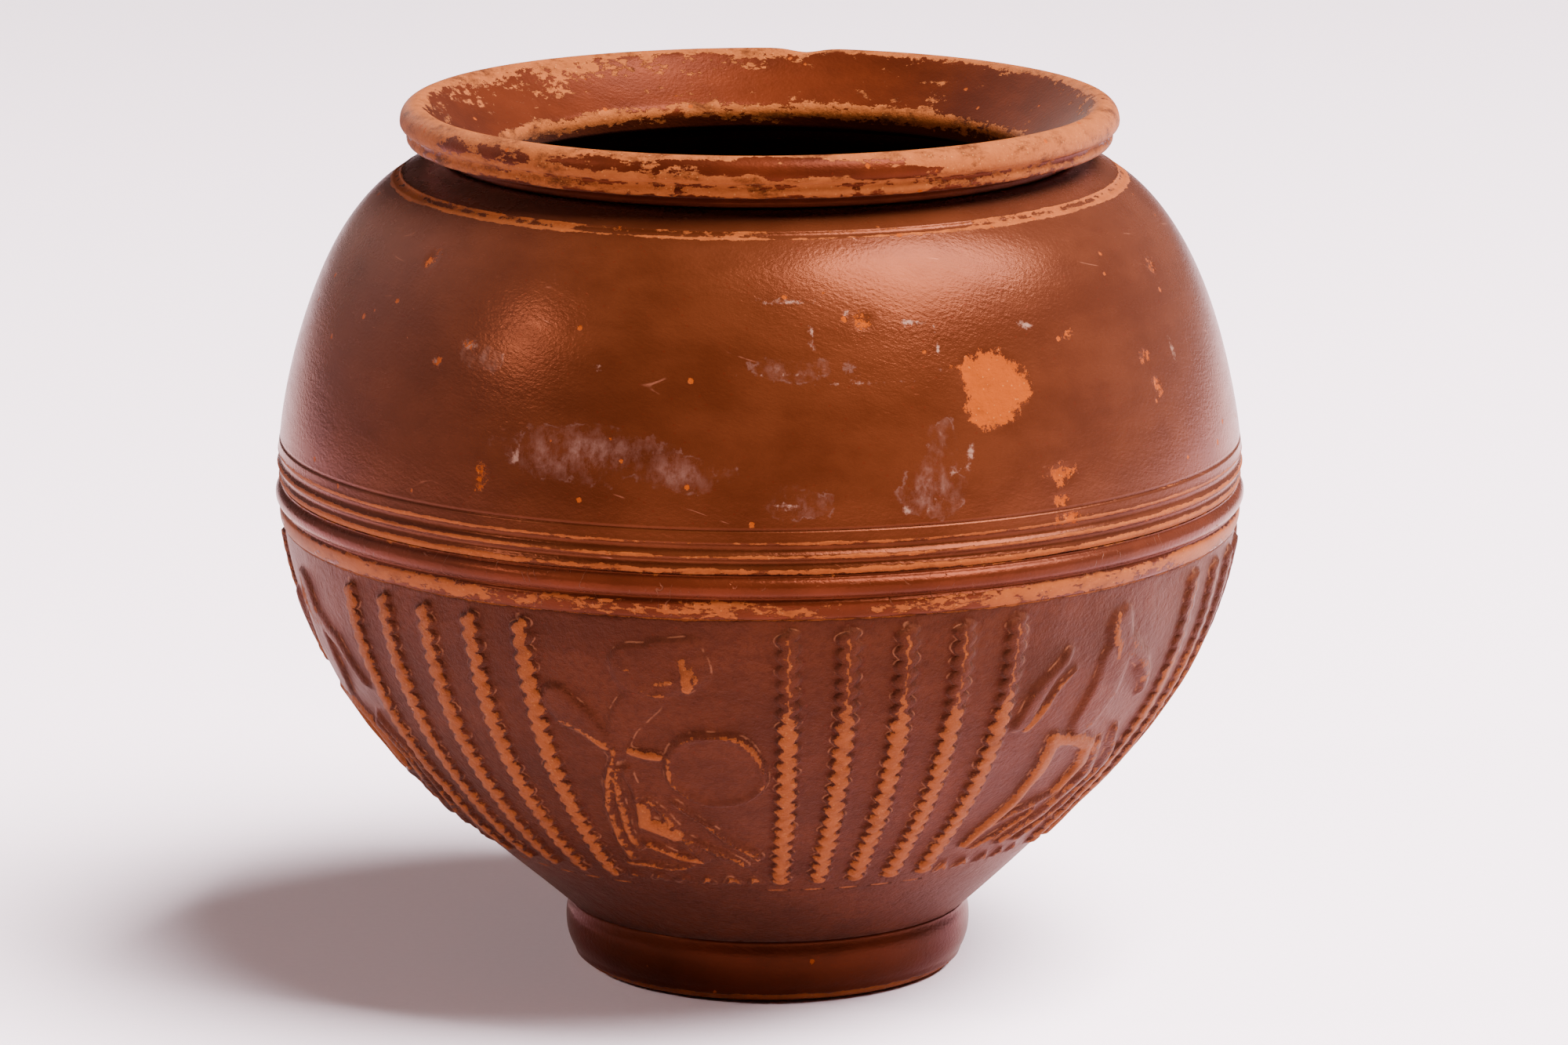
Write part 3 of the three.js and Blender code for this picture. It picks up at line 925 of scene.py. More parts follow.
        # Painted shade, partly dirt: the crevice just outside each column's edge is darkened where shade
        # falls, broken up by a noise.
        shade = recipe.share(recipe.clouds(4.0, 3, 0.6, shift=51.0), 0.4, 0.62)
        crevice_shade_and_dirt = recipe.times(recipe.share(column, -0.75, -0.2), recipe.share(column, 0.15, -0.1), shade)
        mottle = recipe.share(recipe.clouds(1.3, 4, 0.75, shift=19.0), 0.42, 0.66)
        tint = recipe.mix(recipe.times(mottle, 0.55), self.skin(recipe), color(48, 23, 16))
        tint = recipe.mix(recipe.times(crevice_shade_and_dirt, 0.75), tint, color(52, 22, 14))
        tint = recipe.mix(worn, tint, self.clay.tint(recipe))
        tint = recipe.mix(recipe.times(outline, broken, 0.36), tint, color(130, 82, 58))
        patchy = recipe.ease(recipe.clouds(6, 5, 0.7, shift=2.0), self.rough, self.dull)
        rough = recipe.ease(worn, patchy, 0.66)
        normal = self.grain(recipe, column, figure, worn)
        return self.finish(recipe, tint, rough, normal, recipe.math("SUBTRACT", 1.0, worn))


@dataclass(frozen=True)
class CordonSlip(Slip):
    """The slip of the bead, crossed by fine upright cracks."""

    cracks_round: int = 236

    def make(self) -> bpy.types.Material:
        """Write the bead's material.

        Returns:
            The material.
        """
        recipe = Recipe(self.name)
        worn = self.worn(recipe)
        drift = recipe.times(recipe.clouds(5, 2, 0.5, (1, 1, 0.8), 7.0), 5.0)
        phase = recipe.math("MULTIPLY_ADD", recipe.turn(), self.cracks_round / FULL_TURN, drift)
        line = recipe.gap(recipe.math("FRACT", phase), 0.5)
        some = recipe.share(recipe.clouds(4.5, 4, 0.7, shift=61.0), 0.54, 0.62)
        crack = recipe.times(recipe.share(line, 0.05, 0.015), some)
        tint = recipe.mix(worn, self.skin(recipe), self.clay.tint(recipe))
        tint = recipe.mix(recipe.times(crack, 0.18), tint, color(130, 84, 60))
        patchy = recipe.ease(recipe.clouds(5, 4), self.rough - 0.05, self.rough + 0.1)
        rough = recipe.ease(worn, patchy, 0.6)
        thick = recipe.math("SUBTRACT", 1.0, recipe.math("MAXIMUM", worn, crack))
        return self.finish(recipe, tint, rough, self.glints(recipe, recipe.bump(thick, 0.12)), thick)


@dataclass
class VesselPiece:
    """A turned piece that stands in for one solid of the frame."""

    name: str
    node: str
    slot: str
    finish: Slip
    steps: int = 360
    wobble: float = 0.12

    def stations(self) -> list[Station]:
        """Give the profile's stations; each piece draws its own."""
        raise NotImplementedError

    def work(self, mesh: bmesh.types.BMesh) -> None:
        """Work the turned mesh by hand; a plain piece is only made slightly uneven.

        Args:
            mesh: The turned mesh.
        """
        for point in mesh.verts:
            self.push(point, hand_wobble(point.co, self.wobble) - self.wobble)

    @staticmethod
    def lean(mesh: bmesh.types.BMesh) -> None:
        """Set the foot slightly off the axis, as on a vessel turned by hand.

        Args:
            mesh: The worked mesh.
        """
        for point in mesh.verts:
            point.co.x += FOOT_OFFSET * MM * blend_step(point.co.z / MM, LEAN_TOP, LEAN_START)

    @staticmethod
    def push(point: bmesh.types.BMVert, amount: float) -> None:
        """Move a point along its normal by an amount in millimetres."""
        point.co += point.normal * amount * MM

    def turn(self) -> bmesh.types.BMesh:
        """Turn the profile."""
        return turned(self.stations(), self.steps)

    def build(self) -> bpy.types.Object:
        """Make the piece, dress it and set it in the frame.

        Returns:
            The finished object.
        """
        mesh = self.turn()
        mesh.normal_update()
        for layer in (Layer.CHIP, Layer.FILM, Layer.CRUST):
            added = mesh.verts.layers.float.new(layer.value)
            for point in mesh.verts:
                point[added] = UNMARKED
        self.work(mesh)
        self.lean(mesh)
        mesh.normal_update()
        data = mesh_data(self.name, mesh)
        data.shade_smooth()
        data.materials.append(self.finish.make())
        made = set_out(self.name, data)
        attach(made, "root")
        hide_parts(self.node)
        LOG.info("%s: %d faces, slot %s", self.name, len(data.polygons), self.slot)
        return made


@dataclass
class FootRing(VesselPiece):
    """The low turned foot, worn where it stands."""

    height: float = 11.4
    rest_inner: float = 25.8
    rest_outer: float = 29.6
    radius: float = 34.8
    top_radius: float = 34.2
    inner_radius: float = 24.6
    inner_bend: float = 6.4

    def stations(self) -> list[Station]:
        """Draw the foot's profile from its resting face up and back inside."""
        outer = moulding(
            [
                (self.rest_outer, 0.0, 0.85),
                (31.6, 0.5, 0.75),
                (33.1, 1.6, 0.55),
                (33.4, 2.2, 0.3),
                (33.5, 2.6, 0.2),
                (34.1, 3.8, 0.12),
                (34.6, 5.4, 0.1),
                (self.radius, 7.4, 0.2),
                (34.7, 9.2, 0.1),
                (34.3, 10.6, 0.1),
                (self.top_radius, self.height, 0.1),
            ],
            0.45,
        )
        top, bend = (self.inner_radius, self.height, 0.3), (self.inner_radius, self.inner_bend, 0.3)
        rest = (self.rest_inner, 0.0, 0.85)
        return [*outer, *evenly([top, bend], 1.0), *evenly([bend, rest], 1.0)]


@dataclass
class MouldedBowl(VesselPiece):
    """The moulded bowl: wavy columns in groups of five, and figures between them."""

    foot_radius: float = 34.2
    seat_height: float = 11.4
    belly_radius: float = 81.0
    low_handle: Place = (0.45, 0.29)
    high_handle: Place = (0.91, 0.55)
    zone_bottom: float = 24.8
    zone_top: float = 77.6
    seam_height: float = 81.1
    seam_outer: float = 79.6
    seam_inner: float = 75.2
    boss_radius: float = 24.3
    boss_height: float = 7.2
    wall: float = 5.8
    floor_height: float = 13.2
    floor_turn: float = 8.0
    column_rise: float = 0.95
    figure_rise: float = 1.0
    column_tops: float = 76.2
    column_sway: float = 0.5
    half_panel: float = 17.0
    fold_shake: float = 0.75
    fade: float = 1.5

    def __post_init__(self) -> None:
        """Draw the wall once, measure distances up it and lay the figures on it."""
        foot, belly = (self.foot_radius, self.seat_height), (self.belly_radius, self.zone_top)
        self.curve = wall_curve(foot, belly, self.low_handle, self.high_handle, 600)
        self.arcs = [0.0]
        for a, b in zip(self.curve, self.curve[1:]):
            self.arcs.append(self.arcs[-1] + math.hypot(b[0] - a[0], b[1] - a[1]))
        self.shield = Shield()
        self.shield_arc = self.arc_at(self.shield.centre[1])
        self.strokes = {kind: [stroke.on_wall(self.arc_at) for stroke in FIGURES[kind]] for kind in Figure}

    def arc_at(self, height: float) -> float:
        """Give the distance up the wall at a height.

        Args:
            height: The height in millimetres.

        Returns:
            The distance from the foot's seat, in millimetres.
        """
        low, high = 0, len(self.curve) - 1
        while high - low > 1:
            middle = (low + high) // 2
            if self.curve[middle][1] < height:
                low = middle
            else:
                high = middle
        share = (height - self.curve[low][1]) / (self.curve[high][1] - self.curve[low][1])
        return self.arcs[low] + (self.arcs[high] - self.arcs[low]) * share

    def stations(self) -> list[Station]:
        """Draw the outer wall, dense in the relief zone."""
        low = [place for place in self.curve if place[1] <= self.zone_bottom - 1]
        zone = [place for place in self.curve if place[1] > self.zone_bottom - 1]
        spacing = 0.66
        wall = evenly(low, 2.0) + evenly(zone, spacing)
        wall = [(r, z, blend_step(z, self.zone_top - 1.2, self.zone_top + 1.0)) for r, z in wall]
        shelf = (self.belly_radius - 0.6, self.zone_top + 0.8, 0.5)
        return [*wall, shelf, (self.seam_outer, self.seam_height, 0.5)]

    def inside(self) -> list[Station]:
        """Draw the inner wall from the seam down to the floor's middle, with few rows.

        Returns:
            The stations, from the seam to the axis.
        """
        wall = inner_wall(self.curve[::50], self.curve[20::50], self.wall)
        wall = [point for point in wall if point[1] > self.floor_height + 1.5]
        rim = (self.seam_inner, self.seam_height, 0.2)
        edge = wall[0][0] - self.floor_turn
        floor = [(edge, self.floor_height + 0.5, 0.0), (edge - self.floor_turn, self.floor_height, 0.0)]
        return [rim, *reversed(wall), *floor, (0.0, self.floor_height, 0.0)]

    def turn(self) -> bmesh.types.BMesh:
        """Turn the base, the dense outer wall and the plainer inside as one closed form.

        Returns:
            The closed mesh.
        """
        base = [(0.0, self.boss_height, 0.2), (self.boss_radius, self.boss_height, 0.2)]
        base.append((self.boss_radius, self.seat_height, 0.2))
        steps = self.steps
        return turned([*base, *self.stations(), *self.inside()], steps, closed=False)

    def figure_relief(self, angle: float, arc: float, scale: float) -> tuple[float, float, float]:
        """Give the figure's depth, rise and wear at a point of a panel.

        Args:
            angle: Angle round the vessel in degrees.
            arc: Distance up the wall in millimetres.
            scale: Millimetres along the wall for each degree.

        Returns:
            Depth in millimetres, share of the relief and wear.
        """
        finish = self.finish
        turns = (angle - finish.first_group) / finish.group_period + 0.5
        panel = math.floor(turns + 0.5)
        local = (turns - panel) * finish.group_period
        kind = Figure.DRAPED if panel % 2 == 0 else Figure.STRIDING
        depth, rise, wear = OFF_FIGURE, 0.0, 0.0
        if abs(local) > self.half_panel:
            return depth, rise, wear
        for stroke in self.strokes[kind]:
            inside = stroke.depth(local, arc, scale)
            if inside > OFF_FIGURE:
                depth = max(depth, inside)
                rise = max(rise, stroke.rise * blend_step(inside, -0.35, 1.25))
                wear = max(wear, stroke.worn * blend_step(inside, -0.2, 0.8))
        if kind is Figure.DRAPED:
            inside, swell, rubbed = self.shield.relief(local, arc, scale, self.shield_arc)
            depth, rise, wear = max(depth, inside), max(rise, swell), max(wear, rubbed)
        return depth, rise, wear

    def column_relief(self, angle: float, radius: float, along: float) -> float:
        """Give the columns' share of the relief at a point.

        Args:
            angle: Angle round the vessel in degrees, wobble included.
            radius: Radius in millimetres.
            along: Distance below the columns' tops in millimetres.

        Returns:
            The share, from 0 to 1.
        """
        finish = self.finish
        half_period = finish.group_period / 2
        local = (angle - finish.first_group + half_period) % finish.group_period - half_period
        index = min(2, max(-2, round(local / finish.column_pitch)))
        across = math.radians(local - index * finish.column_pitch) * radius
        half = finish.half_top + (finish.half_low - finish.half_top) * along / finish.length
        phase = along / finish.pitch + math.copysign(0.25, across)
        lobe = finish.lobe * (abs(math.sin(math.pi * phase)) - finish.lobe_middle)
        past = max(0.0, half - along, along - finish.length + half)
        return blend_step(half + lobe - math.hypot(across, past), -0.25, 1.1)

    def work(self, mesh: bmesh.types.BMesh) -> None:
        """Push the relief out of the wall.

        Args:
            mesh: The turned mesh.
        """
        layers = mesh.verts.layers.float
        along_of, wobble_of = layers.new(Layer.ALONG.value), layers.new(Layer.WOBBLE.value)
        edge_of, wear_of = layers.new(Layer.FIGURE_EDGE.value), layers.new(Layer.FIGURE_WEAR.value)
        top_arc = self.arc_at(self.column_tops)
        for point in mesh.verts:
            angle, radius, height = polar(point.co)
            point[edge_of], point[along_of] = OFF_FIGURE, OFF_COLUMN
            if faces_inward(point) or height < self.zone_bottom - 0.5 or height > self.zone_top:
                continue
            arc = self.arc_at(height)
            along, wobble = top_arc - arc, self.column_sway * noise.noise(point.co * 14)
            point[along_of], point[wobble_of] = along, wobble
            shakes = (noise.noise(point.co * 190 + Vector(start)) for start in SHAKE_STARTS)
            across, up = (self.fold_shake * shake for shake in shakes)
            bent = angle + math.degrees(across / radius)
            depth, rise, wear = self.figure_relief(bent, arc + up, math.radians(radius))
            point[edge_of], point[wear_of] = depth, wear
            column = self.column_relief(angle + wobble, radius, along)
            fade = blend_step(height, self.zone_bottom, self.zone_bottom + self.fade)
            raised = max(column * self.column_rise, rise * self.figure_rise) * fade
            rough = 0.16 * noise.noise(point.co * 160) + hand_wobble(point.co, 0.15)
            self.push(point, raised * blend_step(self.zone_top - height, 0.0, 1.2) + rough * fade)


@dataclass
class SeamCordon(VesselPiece):
    """The cordon over the seam: a worn band below and a glossy bead above."""

    back_radius: float = 79.3
    low: float = 77.6
    top: float = 85.0

    def stations(self) -> list[Station]:
        """Draw the band, the fine groove and the bead."""
        face = moulding(
            [
                (81.0, self.low, 0.45),
                (81.35, 78.0, 0.7),
                (81.6, 78.7, 0.95),
                (81.75, 79.6, 1.0),
                (81.7, 80.4, 0.9),
                (81.35, 80.85, 0.45),
                (81.3, 81.15, 0.1),
                (81.8, 81.5, 0.1),
                (82.25, 82.1, 0.15),
                (82.4, 82.8, 0.1),
                (82.3, 83.5, 0.0),
                (81.9, 84.15, 0.0),
                (81.45, 84.5, 0.1),
                (81.3, 84.75, 0.4),
                (81.4, self.top, 0.7),
            ],
            0.24,
        )
        return [*face, (self.back_radius, self.top, 0.0), (self.back_radius, self.low, 0.0)]

    def work(self, mesh: bmesh.types.BMesh) -> None:
        """Wear the band harder toward its sides than at the front.

        Args:
            mesh: The turned mesh.
        """
        wear = mesh.verts.layers.float.get(Layer.WEAR.value)
        for point in mesh.verts:
            point[wear] *= 0.5 + 0.28 * blend_step(abs(angle_of(point.co)), 14.0, 60.0)
        super().work(mesh)


@dataclass(frozen=True)
class Flake:
    """A patch of the wall, such as a place where slip has flaked off."""

    angle: float
    height: float
    across: float
    up: float

    def share(self, angle: float, height: float, radius: float) -> float:
        """Give how far inside the flake a point lies.

        Args:
            angle: The point's angle round the vessel, in degrees.
            height: The point's height in millimetres.
            radius: The point's radius in millimetres.

        Returns:
            1 in the middle and 0 at the edge, below 0 outside.
        """
        across = math.radians(angle - self.angle) * radius / self.across
        return 1 - math.hypot(across, (height - self.height) / self.up)

    def depth(self, angle: float, height: float, radius: float) -> float:
        """Give the same in millimetres, for a point at an angle, height and radius."""
        return self.share(angle, height, radius) * min(self.across, self.up)


SHOULDER_FLAKES = (
    Flake(29.6, 113.4, 5.6, 5.2),
    Flake(27.2, 115.8, 2.8, 2.4),
    Flake(32.2, 112.8, 3.4, 3.2),
    Flake(28.6, 109.9, 4.8, 3.2),
    Flake(37.4, 98.0, 2.6, 1.4),
    Flake(36.9, 93.7, 1.4, 0.8),
    Flake(38.5, 90.9, 2.2, 0.9),
    Flake(13.4, 124.4, 1.2, 1.1),
    Flake(-51.4, 129.7, 1.2, 1.4),
    Flake(-34.0, 98.0, 0.7, 1.7),
    Flake(41.9, 119.6, 0.7, 0.7),
    Flake(55.3, 113.4, 0.9, 0.8),
    Flake(56.6, 108.7, 0.8, 1.0),
    Flake(65.5, 125.9, 1.1, 0.8),
    Flake(-39.0, 118.6, 0.6, 0.5),
    Flake(-43.4, 115.0, 0.5, 0.4),
    Flake(128.0, 110.0, 2.4, 1.8),
    Flake(173.0, 120.0, 3.2, 2.2),
    Flake(-118.0, 104.0, 2.0, 2.6),
    Flake(-158.0, 128.0, 1.6, 1.2),
)


SHOULDER_FILM = (
    Flake(-20.0, 103.5, 14.0, 4.2),
    Flake(-10.0, 101.5, 8.0, 3.0),
    Flake(20.0, 98.0, 5.5, 4.0),
    Flake(4.0, 96.6, 4.5, 2.6),
    Flake(5.0, 117.5, 5.0, 1.2),
    Flake(-36.5, 117.0, 3.0, 1.3),
    Flake(22.0, 105.0, 2.4, 3.6),
    Flake(150.0, 104.0, 10.0, 4.0),
    Flake(-140.0, 112.0, 6.0, 5.0),
)


# Crusts of soil on the shoulder, and two long thin painted highlight lines.
SHOULDER_CRUSTS_AND_GLINT_LINES = (
    Flake(25.2, 103.4, 0.7, 1.6),
    Flake(24.4, 101.0, 0.8, 1.4),
    Flake(23.0, 100.2, 1.8, 0.5),
    Flake(20.6, 96.0, 1.8, 0.5),
    Flake(19.4, 95.2, 0.5, 1.0),
    Flake(17.0, 95.0, 1.2, 0.6),
    Flake(3.2, 96.2, 2.6, 0.7),
    Flake(-43.2, 115.1, 1.7, 0.6),
    Flake(-39.0, 118.4, 1.9, 0.8),
    Flake(-20.0, 117.2, 0.9, 0.7),
    Flake(62.4, 113.1, 0.8, 2.4),
    Flake(35.8, 121.8, 1.9, 0.8),
    Flake(11.2, 125.6, 1.0, 0.5),
    Flake(-29.5, 102.4, 0.9, 1.6),
    Flake(2.6, 127.6, 5.0, 0.5),
    Flake(6.6, 122.6, 0.5, 3.2),
    Flake(19.5, 123.8, 2.4, 0.45),
    Flake(22.6, 119.6, 0.45, 3.0),
    # Painted highlight: these two long thin marks stand for glinting lines, not crusts.
    Flake(2.0, 116.8, 7.0, 0.3),
    Flake(12.0, 115.2, 6.0, 0.3),
    Flake(134.0, 112.0, 1.8, 1.4),
    Flake(-104.0, 119.0, 1.4, 0.9),
)


@dataclass
class ThrownShoulder(VesselPiece):
    """The smooth thrown shoulder, from the ridges above the seam to the neck."""

    low: float = 85.0
    band_radius: float = 81.58
    band_top: float = 93.2
    low_handle: Place = (0.05, 0.23)
    high_handle: Place = (0.35, 0.81)
    neck_ring: float = 62.3
    ring_height: float = 136.2
    seat: float = 139.8
    wall: float = 4.8
    mouth: float = 50.4
    mouth_low: float = 135.0
    tongue: tuple[float, float] = (75.2, 79.2)
    tongue_low: float = 81.2

    def stations(self) -> list[Station]:
        """Draw the ridges, the shoulder, the rings at the neck and the inner wall."""
        ridges = moulding(
            [
                (81.4, self.low, 0.5),
                (81.75, 85.45, 0.85),
                (81.9, 85.9, 0.85),
                (81.72, 86.4, 0.4),
                (81.45, 86.85, 0.0),
                (81.5, 87.25, 0.0),
                (81.9, 87.6, 0.35),
                (82.15, 88.05, 0.9),
                (81.95, 88.5, 0.45),
                (81.55, 88.95, 0.0),
                (81.45, 89.35, 0.0),
                (81.6, 89.8, 0.35),
                (82.0, 90.3, 0.85),
                (81.9, 90.9, 0.12),
                (81.8, 91.8, 0.0),
                (81.72, 92.15, 0.25),
                (81.4, 92.35, 0.3),
                (81.65, 92.6, 0.1),
                (self.band_radius, self.band_top, 0.0),
            ],
            0.24,
        )
        band, ring = (self.band_radius, self.band_top), (self.neck_ring, self.ring_height)
        curve = wall_curve(band, ring, self.low_handle, self.high_handle, 300)
        shoulder = evenly([(r, z, 0.0) for r, z in curve], 0.8)
        neck = moulding(
            [
                (self.neck_ring, self.ring_height, 0.6),
                (62.0, 136.42, 0.85),
                (61.5, 136.55, 0.5),
                (60.9, 136.9, 0.45),
                (60.8, 137.3, 0.6),
                (60.2, 137.5, 0.15),
                (59.0, 138.1, 0.0),
                (57.4, 138.8, 0.0),
                (55.6, 139.4, 0.0),
                (54.2, self.seat, 0.0),
            ],
            0.3,
        )
        inner = inner_wall(curve[10:288:12], curve[16:294:12], self.wall)
        mouth = [(self.mouth, self.seat, 0.0), (self.mouth, self.mouth_low, 0.0)]
        inside, outside, end = *self.tongue, self.tongue_low
        tongue = [(inside + 0.3, self.low, 0.0), (inside, end, 0.0)]
        tongue += [(outside, end, 0.0), (outside, self.low, 0.0)]
        return [*ridges[:-1], *shoulder[:-1], *neck, *mouth, *reversed(inner), *tongue]

    def work(self, mesh: bmesh.types.BMesh) -> None:
        """Chip the shoulder and mark where the film clings, where crusts lie and where glint lines are
        painted.

        Args:
            mesh: The turned mesh.
        """
        layers = mesh.verts.layers.float
        chip, film, crust_and_glint, wear = (
            layers.get(layer.value) for layer in (Layer.CHIP, Layer.FILM, Layer.CRUST, Layer.WEAR)
        )
        marks = ((chip, SHOULDER_FLAKES), (film, SHOULDER_FILM), (crust_and_glint, SHOULDER_CRUSTS_AND_GLINT_LINES))
        for point in mesh.verts:
            if faces_inward(point):
                continue
            angle, radius, height = polar(point.co)
            for layer, flakes in marks:
                point[layer] = max(UNMARKED, *(flake.depth(angle, height, radius) for flake in flakes))
            point[wear] *= 0.72 + 0.44 * blend_step(abs(angle), 16.0, 56.0)
            dent = 0.3 * blend_step(point[chip], -0.3, 0.9)
            self.push(point, hand_wobble(point.co, self.wobble) - self.wobble - dent)


LIP_SLIP_PATCHES = (
    Flake(-26.0, 147.3, 6.5, 1.3),
    Flake(-12.0, 147.3, 9.0, 1.6),
    Flake(4.0, 147.5, 12.0, 1.8),
    Flake(17.0, 147.3, 8.0, 1.5),
    Flake(24.0, 145.9, 9.0, 1.0),
    Flake(-44.0, 147.1, 7.0, 1.5),
    Flake(-57.0, 146.7, 5.0, 1.8),
    Flake(112.0, 146.0, 14.0, 1.4),
    Flake(-118.0, 146.6, 18.0, 1.3),
    Flake(168.0, 146.0, 12.0, 1.5),
)


@dataclass
class NeckAndLip(VesselPiece):
    """The collar and the flaring lip, its slip mostly rubbed away."""

    seat: float = 139.8
    top: float = 149.3
    radius: float = 60.8
    inner_radius: float = 45.8
    bead_radius: float = 58.6
    slip_kept: float = 0.62
    funnel_bare: float = 0.18
    bare_angle: float = -138.0
    dip_angle: float = 172.0
    dip_spread: float = 3.2
    dip_depth: float = 0.7

    def stations(self) -> list[Station]:
        """Draw the lip from the shoulder out, over the rim and down inside."""
        outer = moulding(
            [
                (53.4, self.seat, 0.0),
                (53.3, 140.8, 0.0),
                (54.4, 141.6, 0.0),
                (57.0, 141.9, 0.1),
                (58.9, 142.2, 0.35),
                (59.6, 142.8, 0.62),
                (59.7, 143.6, 0.75),
                (59.4, 144.2, 0.5),
                (59.55, 144.6, 0.55),
                (60.3, 144.9, 0.85),
                (60.75, 145.5, 0.92),
                (self.radius, 146.3, 0.95),
                (60.6, 147.3, 0.95),
                (60.1, 148.2, 0.95),
                (59.2, 148.95, 0.95),
                (58.0, self.top, 0.95),
                (56.9, 149.1, 0.85),
                (55.9, 148.5, 0.5),
                (54.6, 147.4, 0.28),
                (52.5, 145.6, 0.18),
                (49.8, 143.5, 0.12),
                (47.4, 141.8, 0.2),
                (46.3, 140.9, 0.62),
                (self.inner_radius, 139.6, 0.7),
                (46.1, 138.2, 0.3),
                (46.5, 136.9, 0.0),
            ],
            0.5,
        )
        return [*outer, (50.0, 135.6, 0.0), (50.0, self.seat, 0.0)]

    def work(self, mesh: bmesh.types.BMesh) -> None:
        """Keep slip on parts of the bead, bare a patch of the funnel, and knock a small dip in the back of
        the rim.

        Args:
            mesh: The turned mesh.
        """
        wear = mesh.verts.layers.float.get(Layer.WEAR.value)
        for point in mesh.verts:
            angle, radius, height = polar(point.co)
            if radius > self.bead_radius:
                for patch in LIP_SLIP_PATCHES:
                    inside = blend_step(0.4 + patch.share(angle, height, radius), 0.0, 0.8)
                    point[wear] -= self.slip_kept * inside
            elif height > 142:
                away = abs((angle - self.bare_angle + 180.0) % 360.0 - 180.0)
                bare = blend_step(away, 38.0, 14.0) * blend_step(height, 142.5, 145.5)
                point[wear] += self.funnel_bare * bare
            if angle > 0:
                dip = self.dip_depth * math.exp(-(((angle - self.dip_angle) / self.dip_spread) ** 2))
                point.co.z -= dip * blend_step(height, 147.5, self.top) * MM
            self.push(point, hand_wobble(point.co, self.wobble) - self.wobble)


@dataclass(frozen=True)
class Softbox:
    """A soft light that faces the vessel, placed by degrees toward the right and up, metres and watts."""

    name: str
    azimuth: float
    elevation: float
    distance: float
    size: Place
    power: float
    tint: Color
    aim: Color = (0.0, 0.0, 0.08)

    def hang(self) -> None:
        """Hang the light."""
        light = bpy.data.lights.new(self.name, "AREA")
        light.shape = "RECTANGLE"
        light.size, light.size_y = self.size
        light.energy = self.power
        light.color = self.tint
        made = set_out(self.name, light)
        turn, lift = math.radians(self.azimuth), math.radians(self.elevation)
        away = Vector((math.sin(turn) * math.cos(lift), -math.cos(turn) * math.cos(lift), math.sin(lift)))
        made.location = away * self.distance + Vector(self.aim)
        made.rotation_euler = away.to_track_quat("Z", "Y").to_euler()


LIGHTS = (
    Softbox("light_right", 72, 60, 2.2, (1.6, 1.4), 400, (1.0, 0.94, 0.945)),
    Softbox("light_left", -66, 31, 1.3, (0.09, 0.12), 6.8, (1.0, 0.85, 0.78)),
    Softbox("light_edge", -108, 22, 1.6, (1.1, 0.9), 3.0, (1.0, 0.78, 0.72)),
)


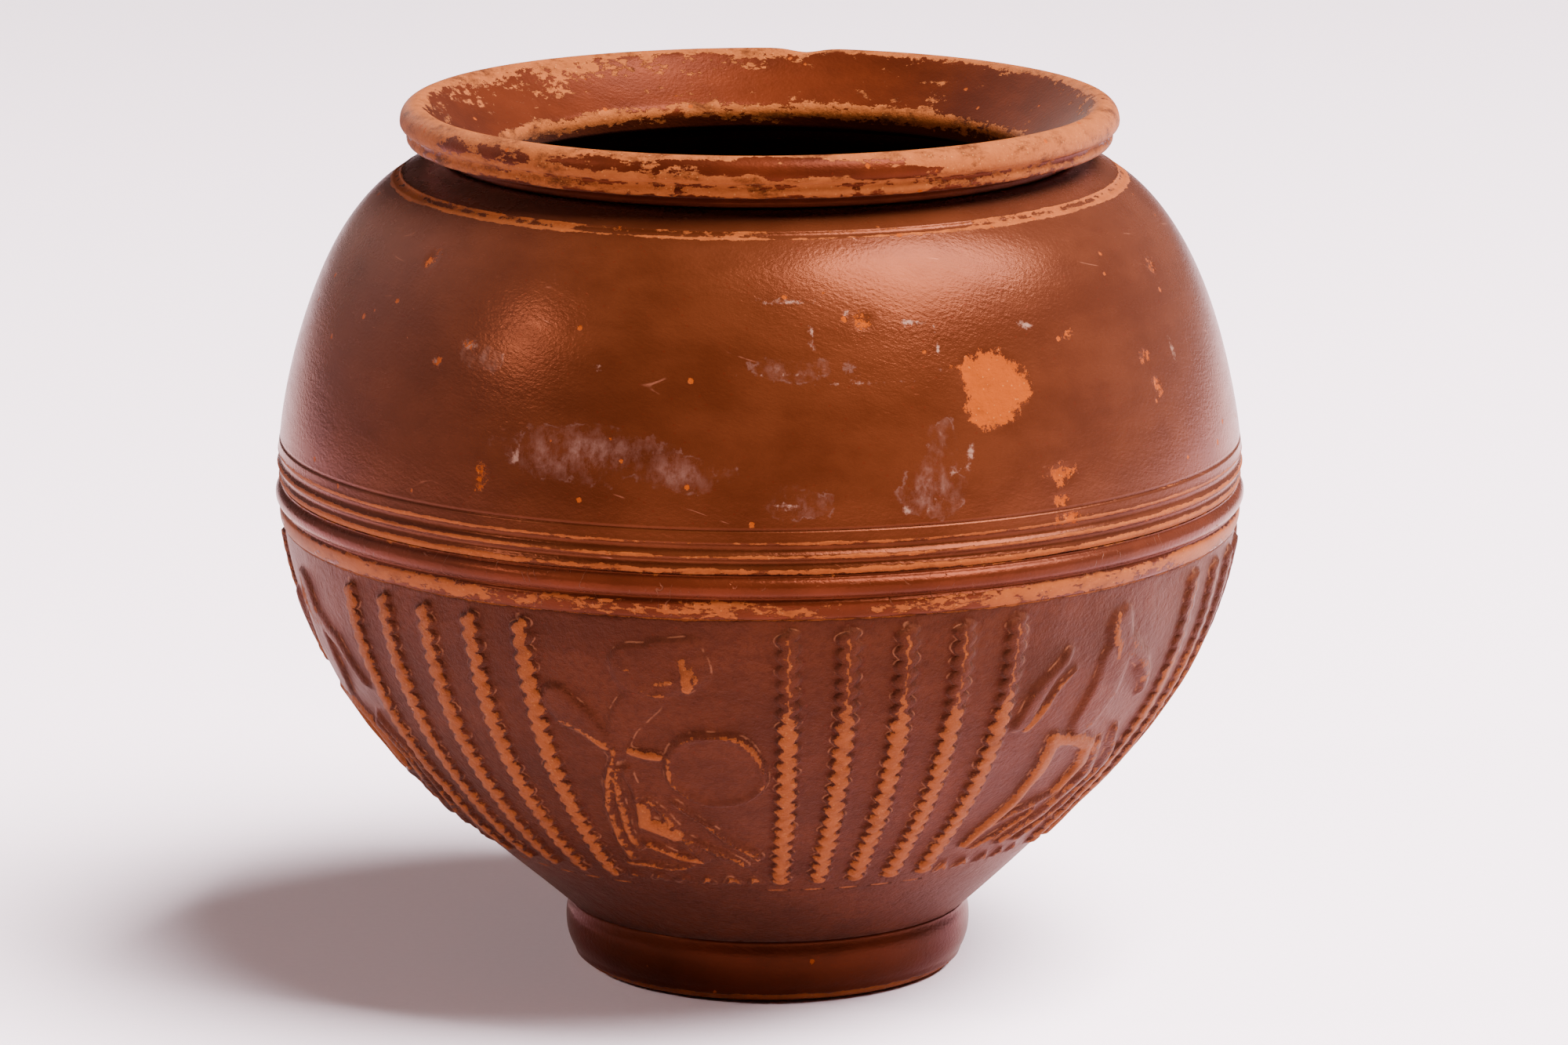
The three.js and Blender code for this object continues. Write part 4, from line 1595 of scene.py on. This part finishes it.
@dataclass
class StudioSet:
    """The pale floor, the soft lights and the camera."""

    floor_radius: float = 6.0
    lens: float = 180.0
    sensor: float = 36.0
    camera_place: tuple[float, float, float] = (0.0, -1.3072, 0.3581)
    camera_turn: tuple[float, float, float] = (77.83, 0.0, -0.18)
    world_tint: Color = (1.0, 0.58, 0.5)
    world_strength: float = 0.038

    def floor(self) -> None:
        """Lay a pale paper floor."""
        mesh = bmesh.new()
        bmesh.ops.create_circle(mesh, cap_ends=True, segments=96, radius=self.floor_radius)
        data = mesh_data("studio_floor", mesh)
        recipe = Recipe("floor_paper")
        tint = recipe.mix(recipe.clouds(1.2, 4), color(247, 230, 240), color(253, 237, 247))
        data.materials.append(recipe.close(tint, 0.8, recipe.bump(recipe.clouds(0.8, 3), 0.02)))
        made = set_out("studio_floor", data)

    def camera(self) -> None:
        """Stand the camera where the photograph was taken from."""
        data = bpy.data.cameras.new("camera")
        data.lens = self.lens
        data.sensor_width = self.sensor
        made = set_out("camera", data)
        made.location = self.camera_place
        made.rotation_euler = tuple(math.radians(part) for part in self.camera_turn)
        bpy.context.scene.camera = made

    def build(self) -> None:
        """Set up floor, world, lights and camera."""
        self.floor()
        world = bpy.data.worlds.new("studio")
        world.use_nodes = True
        background = world.node_tree.nodes["Background"]
        background.inputs["Color"].default_value = (*self.world_tint, 1)
        background.inputs["Strength"].default_value = self.world_strength
        bpy.context.scene.world = world
        for light in LIGHTS:
            light.hang()
        self.camera()
        LOG.info("studio: floor, %d soft lights and camera", len(LIGHTS))


def main() -> None:
    """Build the studio and the five pieces in order."""
    logging.basicConfig(level=logging.INFO, format="%(name)s: %(message)s")
    StudioSet().build()
    foot_finish = Slip("foot_slip_finish", color(62, 28, 16), color(50, 23, 13), rough=0.3, ragged=0.5)
    relief_finish = ReliefSlip(
        "relief_slip_finish",
        color(65, 33, 21),
        color(53, 27, 18),
        rough=0.34,
        ragged=0.5,
        streaks=0.1,
        clay=Clay(color(112, 60, 31), color(88, 44, 22)),
    )
    cordon_finish = CordonSlip("cordon_slip_finish", color(74, 34, 20), color(60, 27, 15), ragged=1.5)
    shoulder_finish = Slip("shoulder_slip_finish", ragged=1.0, film=True)
    lip_finish = Slip(
        "lip_slip_finish",
        color(72, 32, 17),
        color(56, 24, 13),
        rough=0.36,
        ragged=1.75,
        clay=Clay(color(131, 72, 36), color(94, 49, 25), 0.45, 0.95),
    )
    pieces: Iterable[VesselPiece] = (
        FootRing("foot_ring_body", "foot_ring", "foot_slip", foot_finish, 360),
        MouldedBowl("moulded_bowl_body", "moulded_bowl", "relief_slip", relief_finish, 720),
        SeamCordon("seam_cordon_body", "seam_cordon", "cordon_slip", cordon_finish, 720, 0.06),
        ThrownShoulder("thrown_shoulder_body", "thrown_shoulder", "shoulder_slip", shoulder_finish, 540),
        NeckAndLip("neck_and_lip_body", "neck_and_lip", "lip_slip", lip_finish, 480),
    )
    for piece in pieces:
        piece.build()


if __name__ == "__main__":
    main()
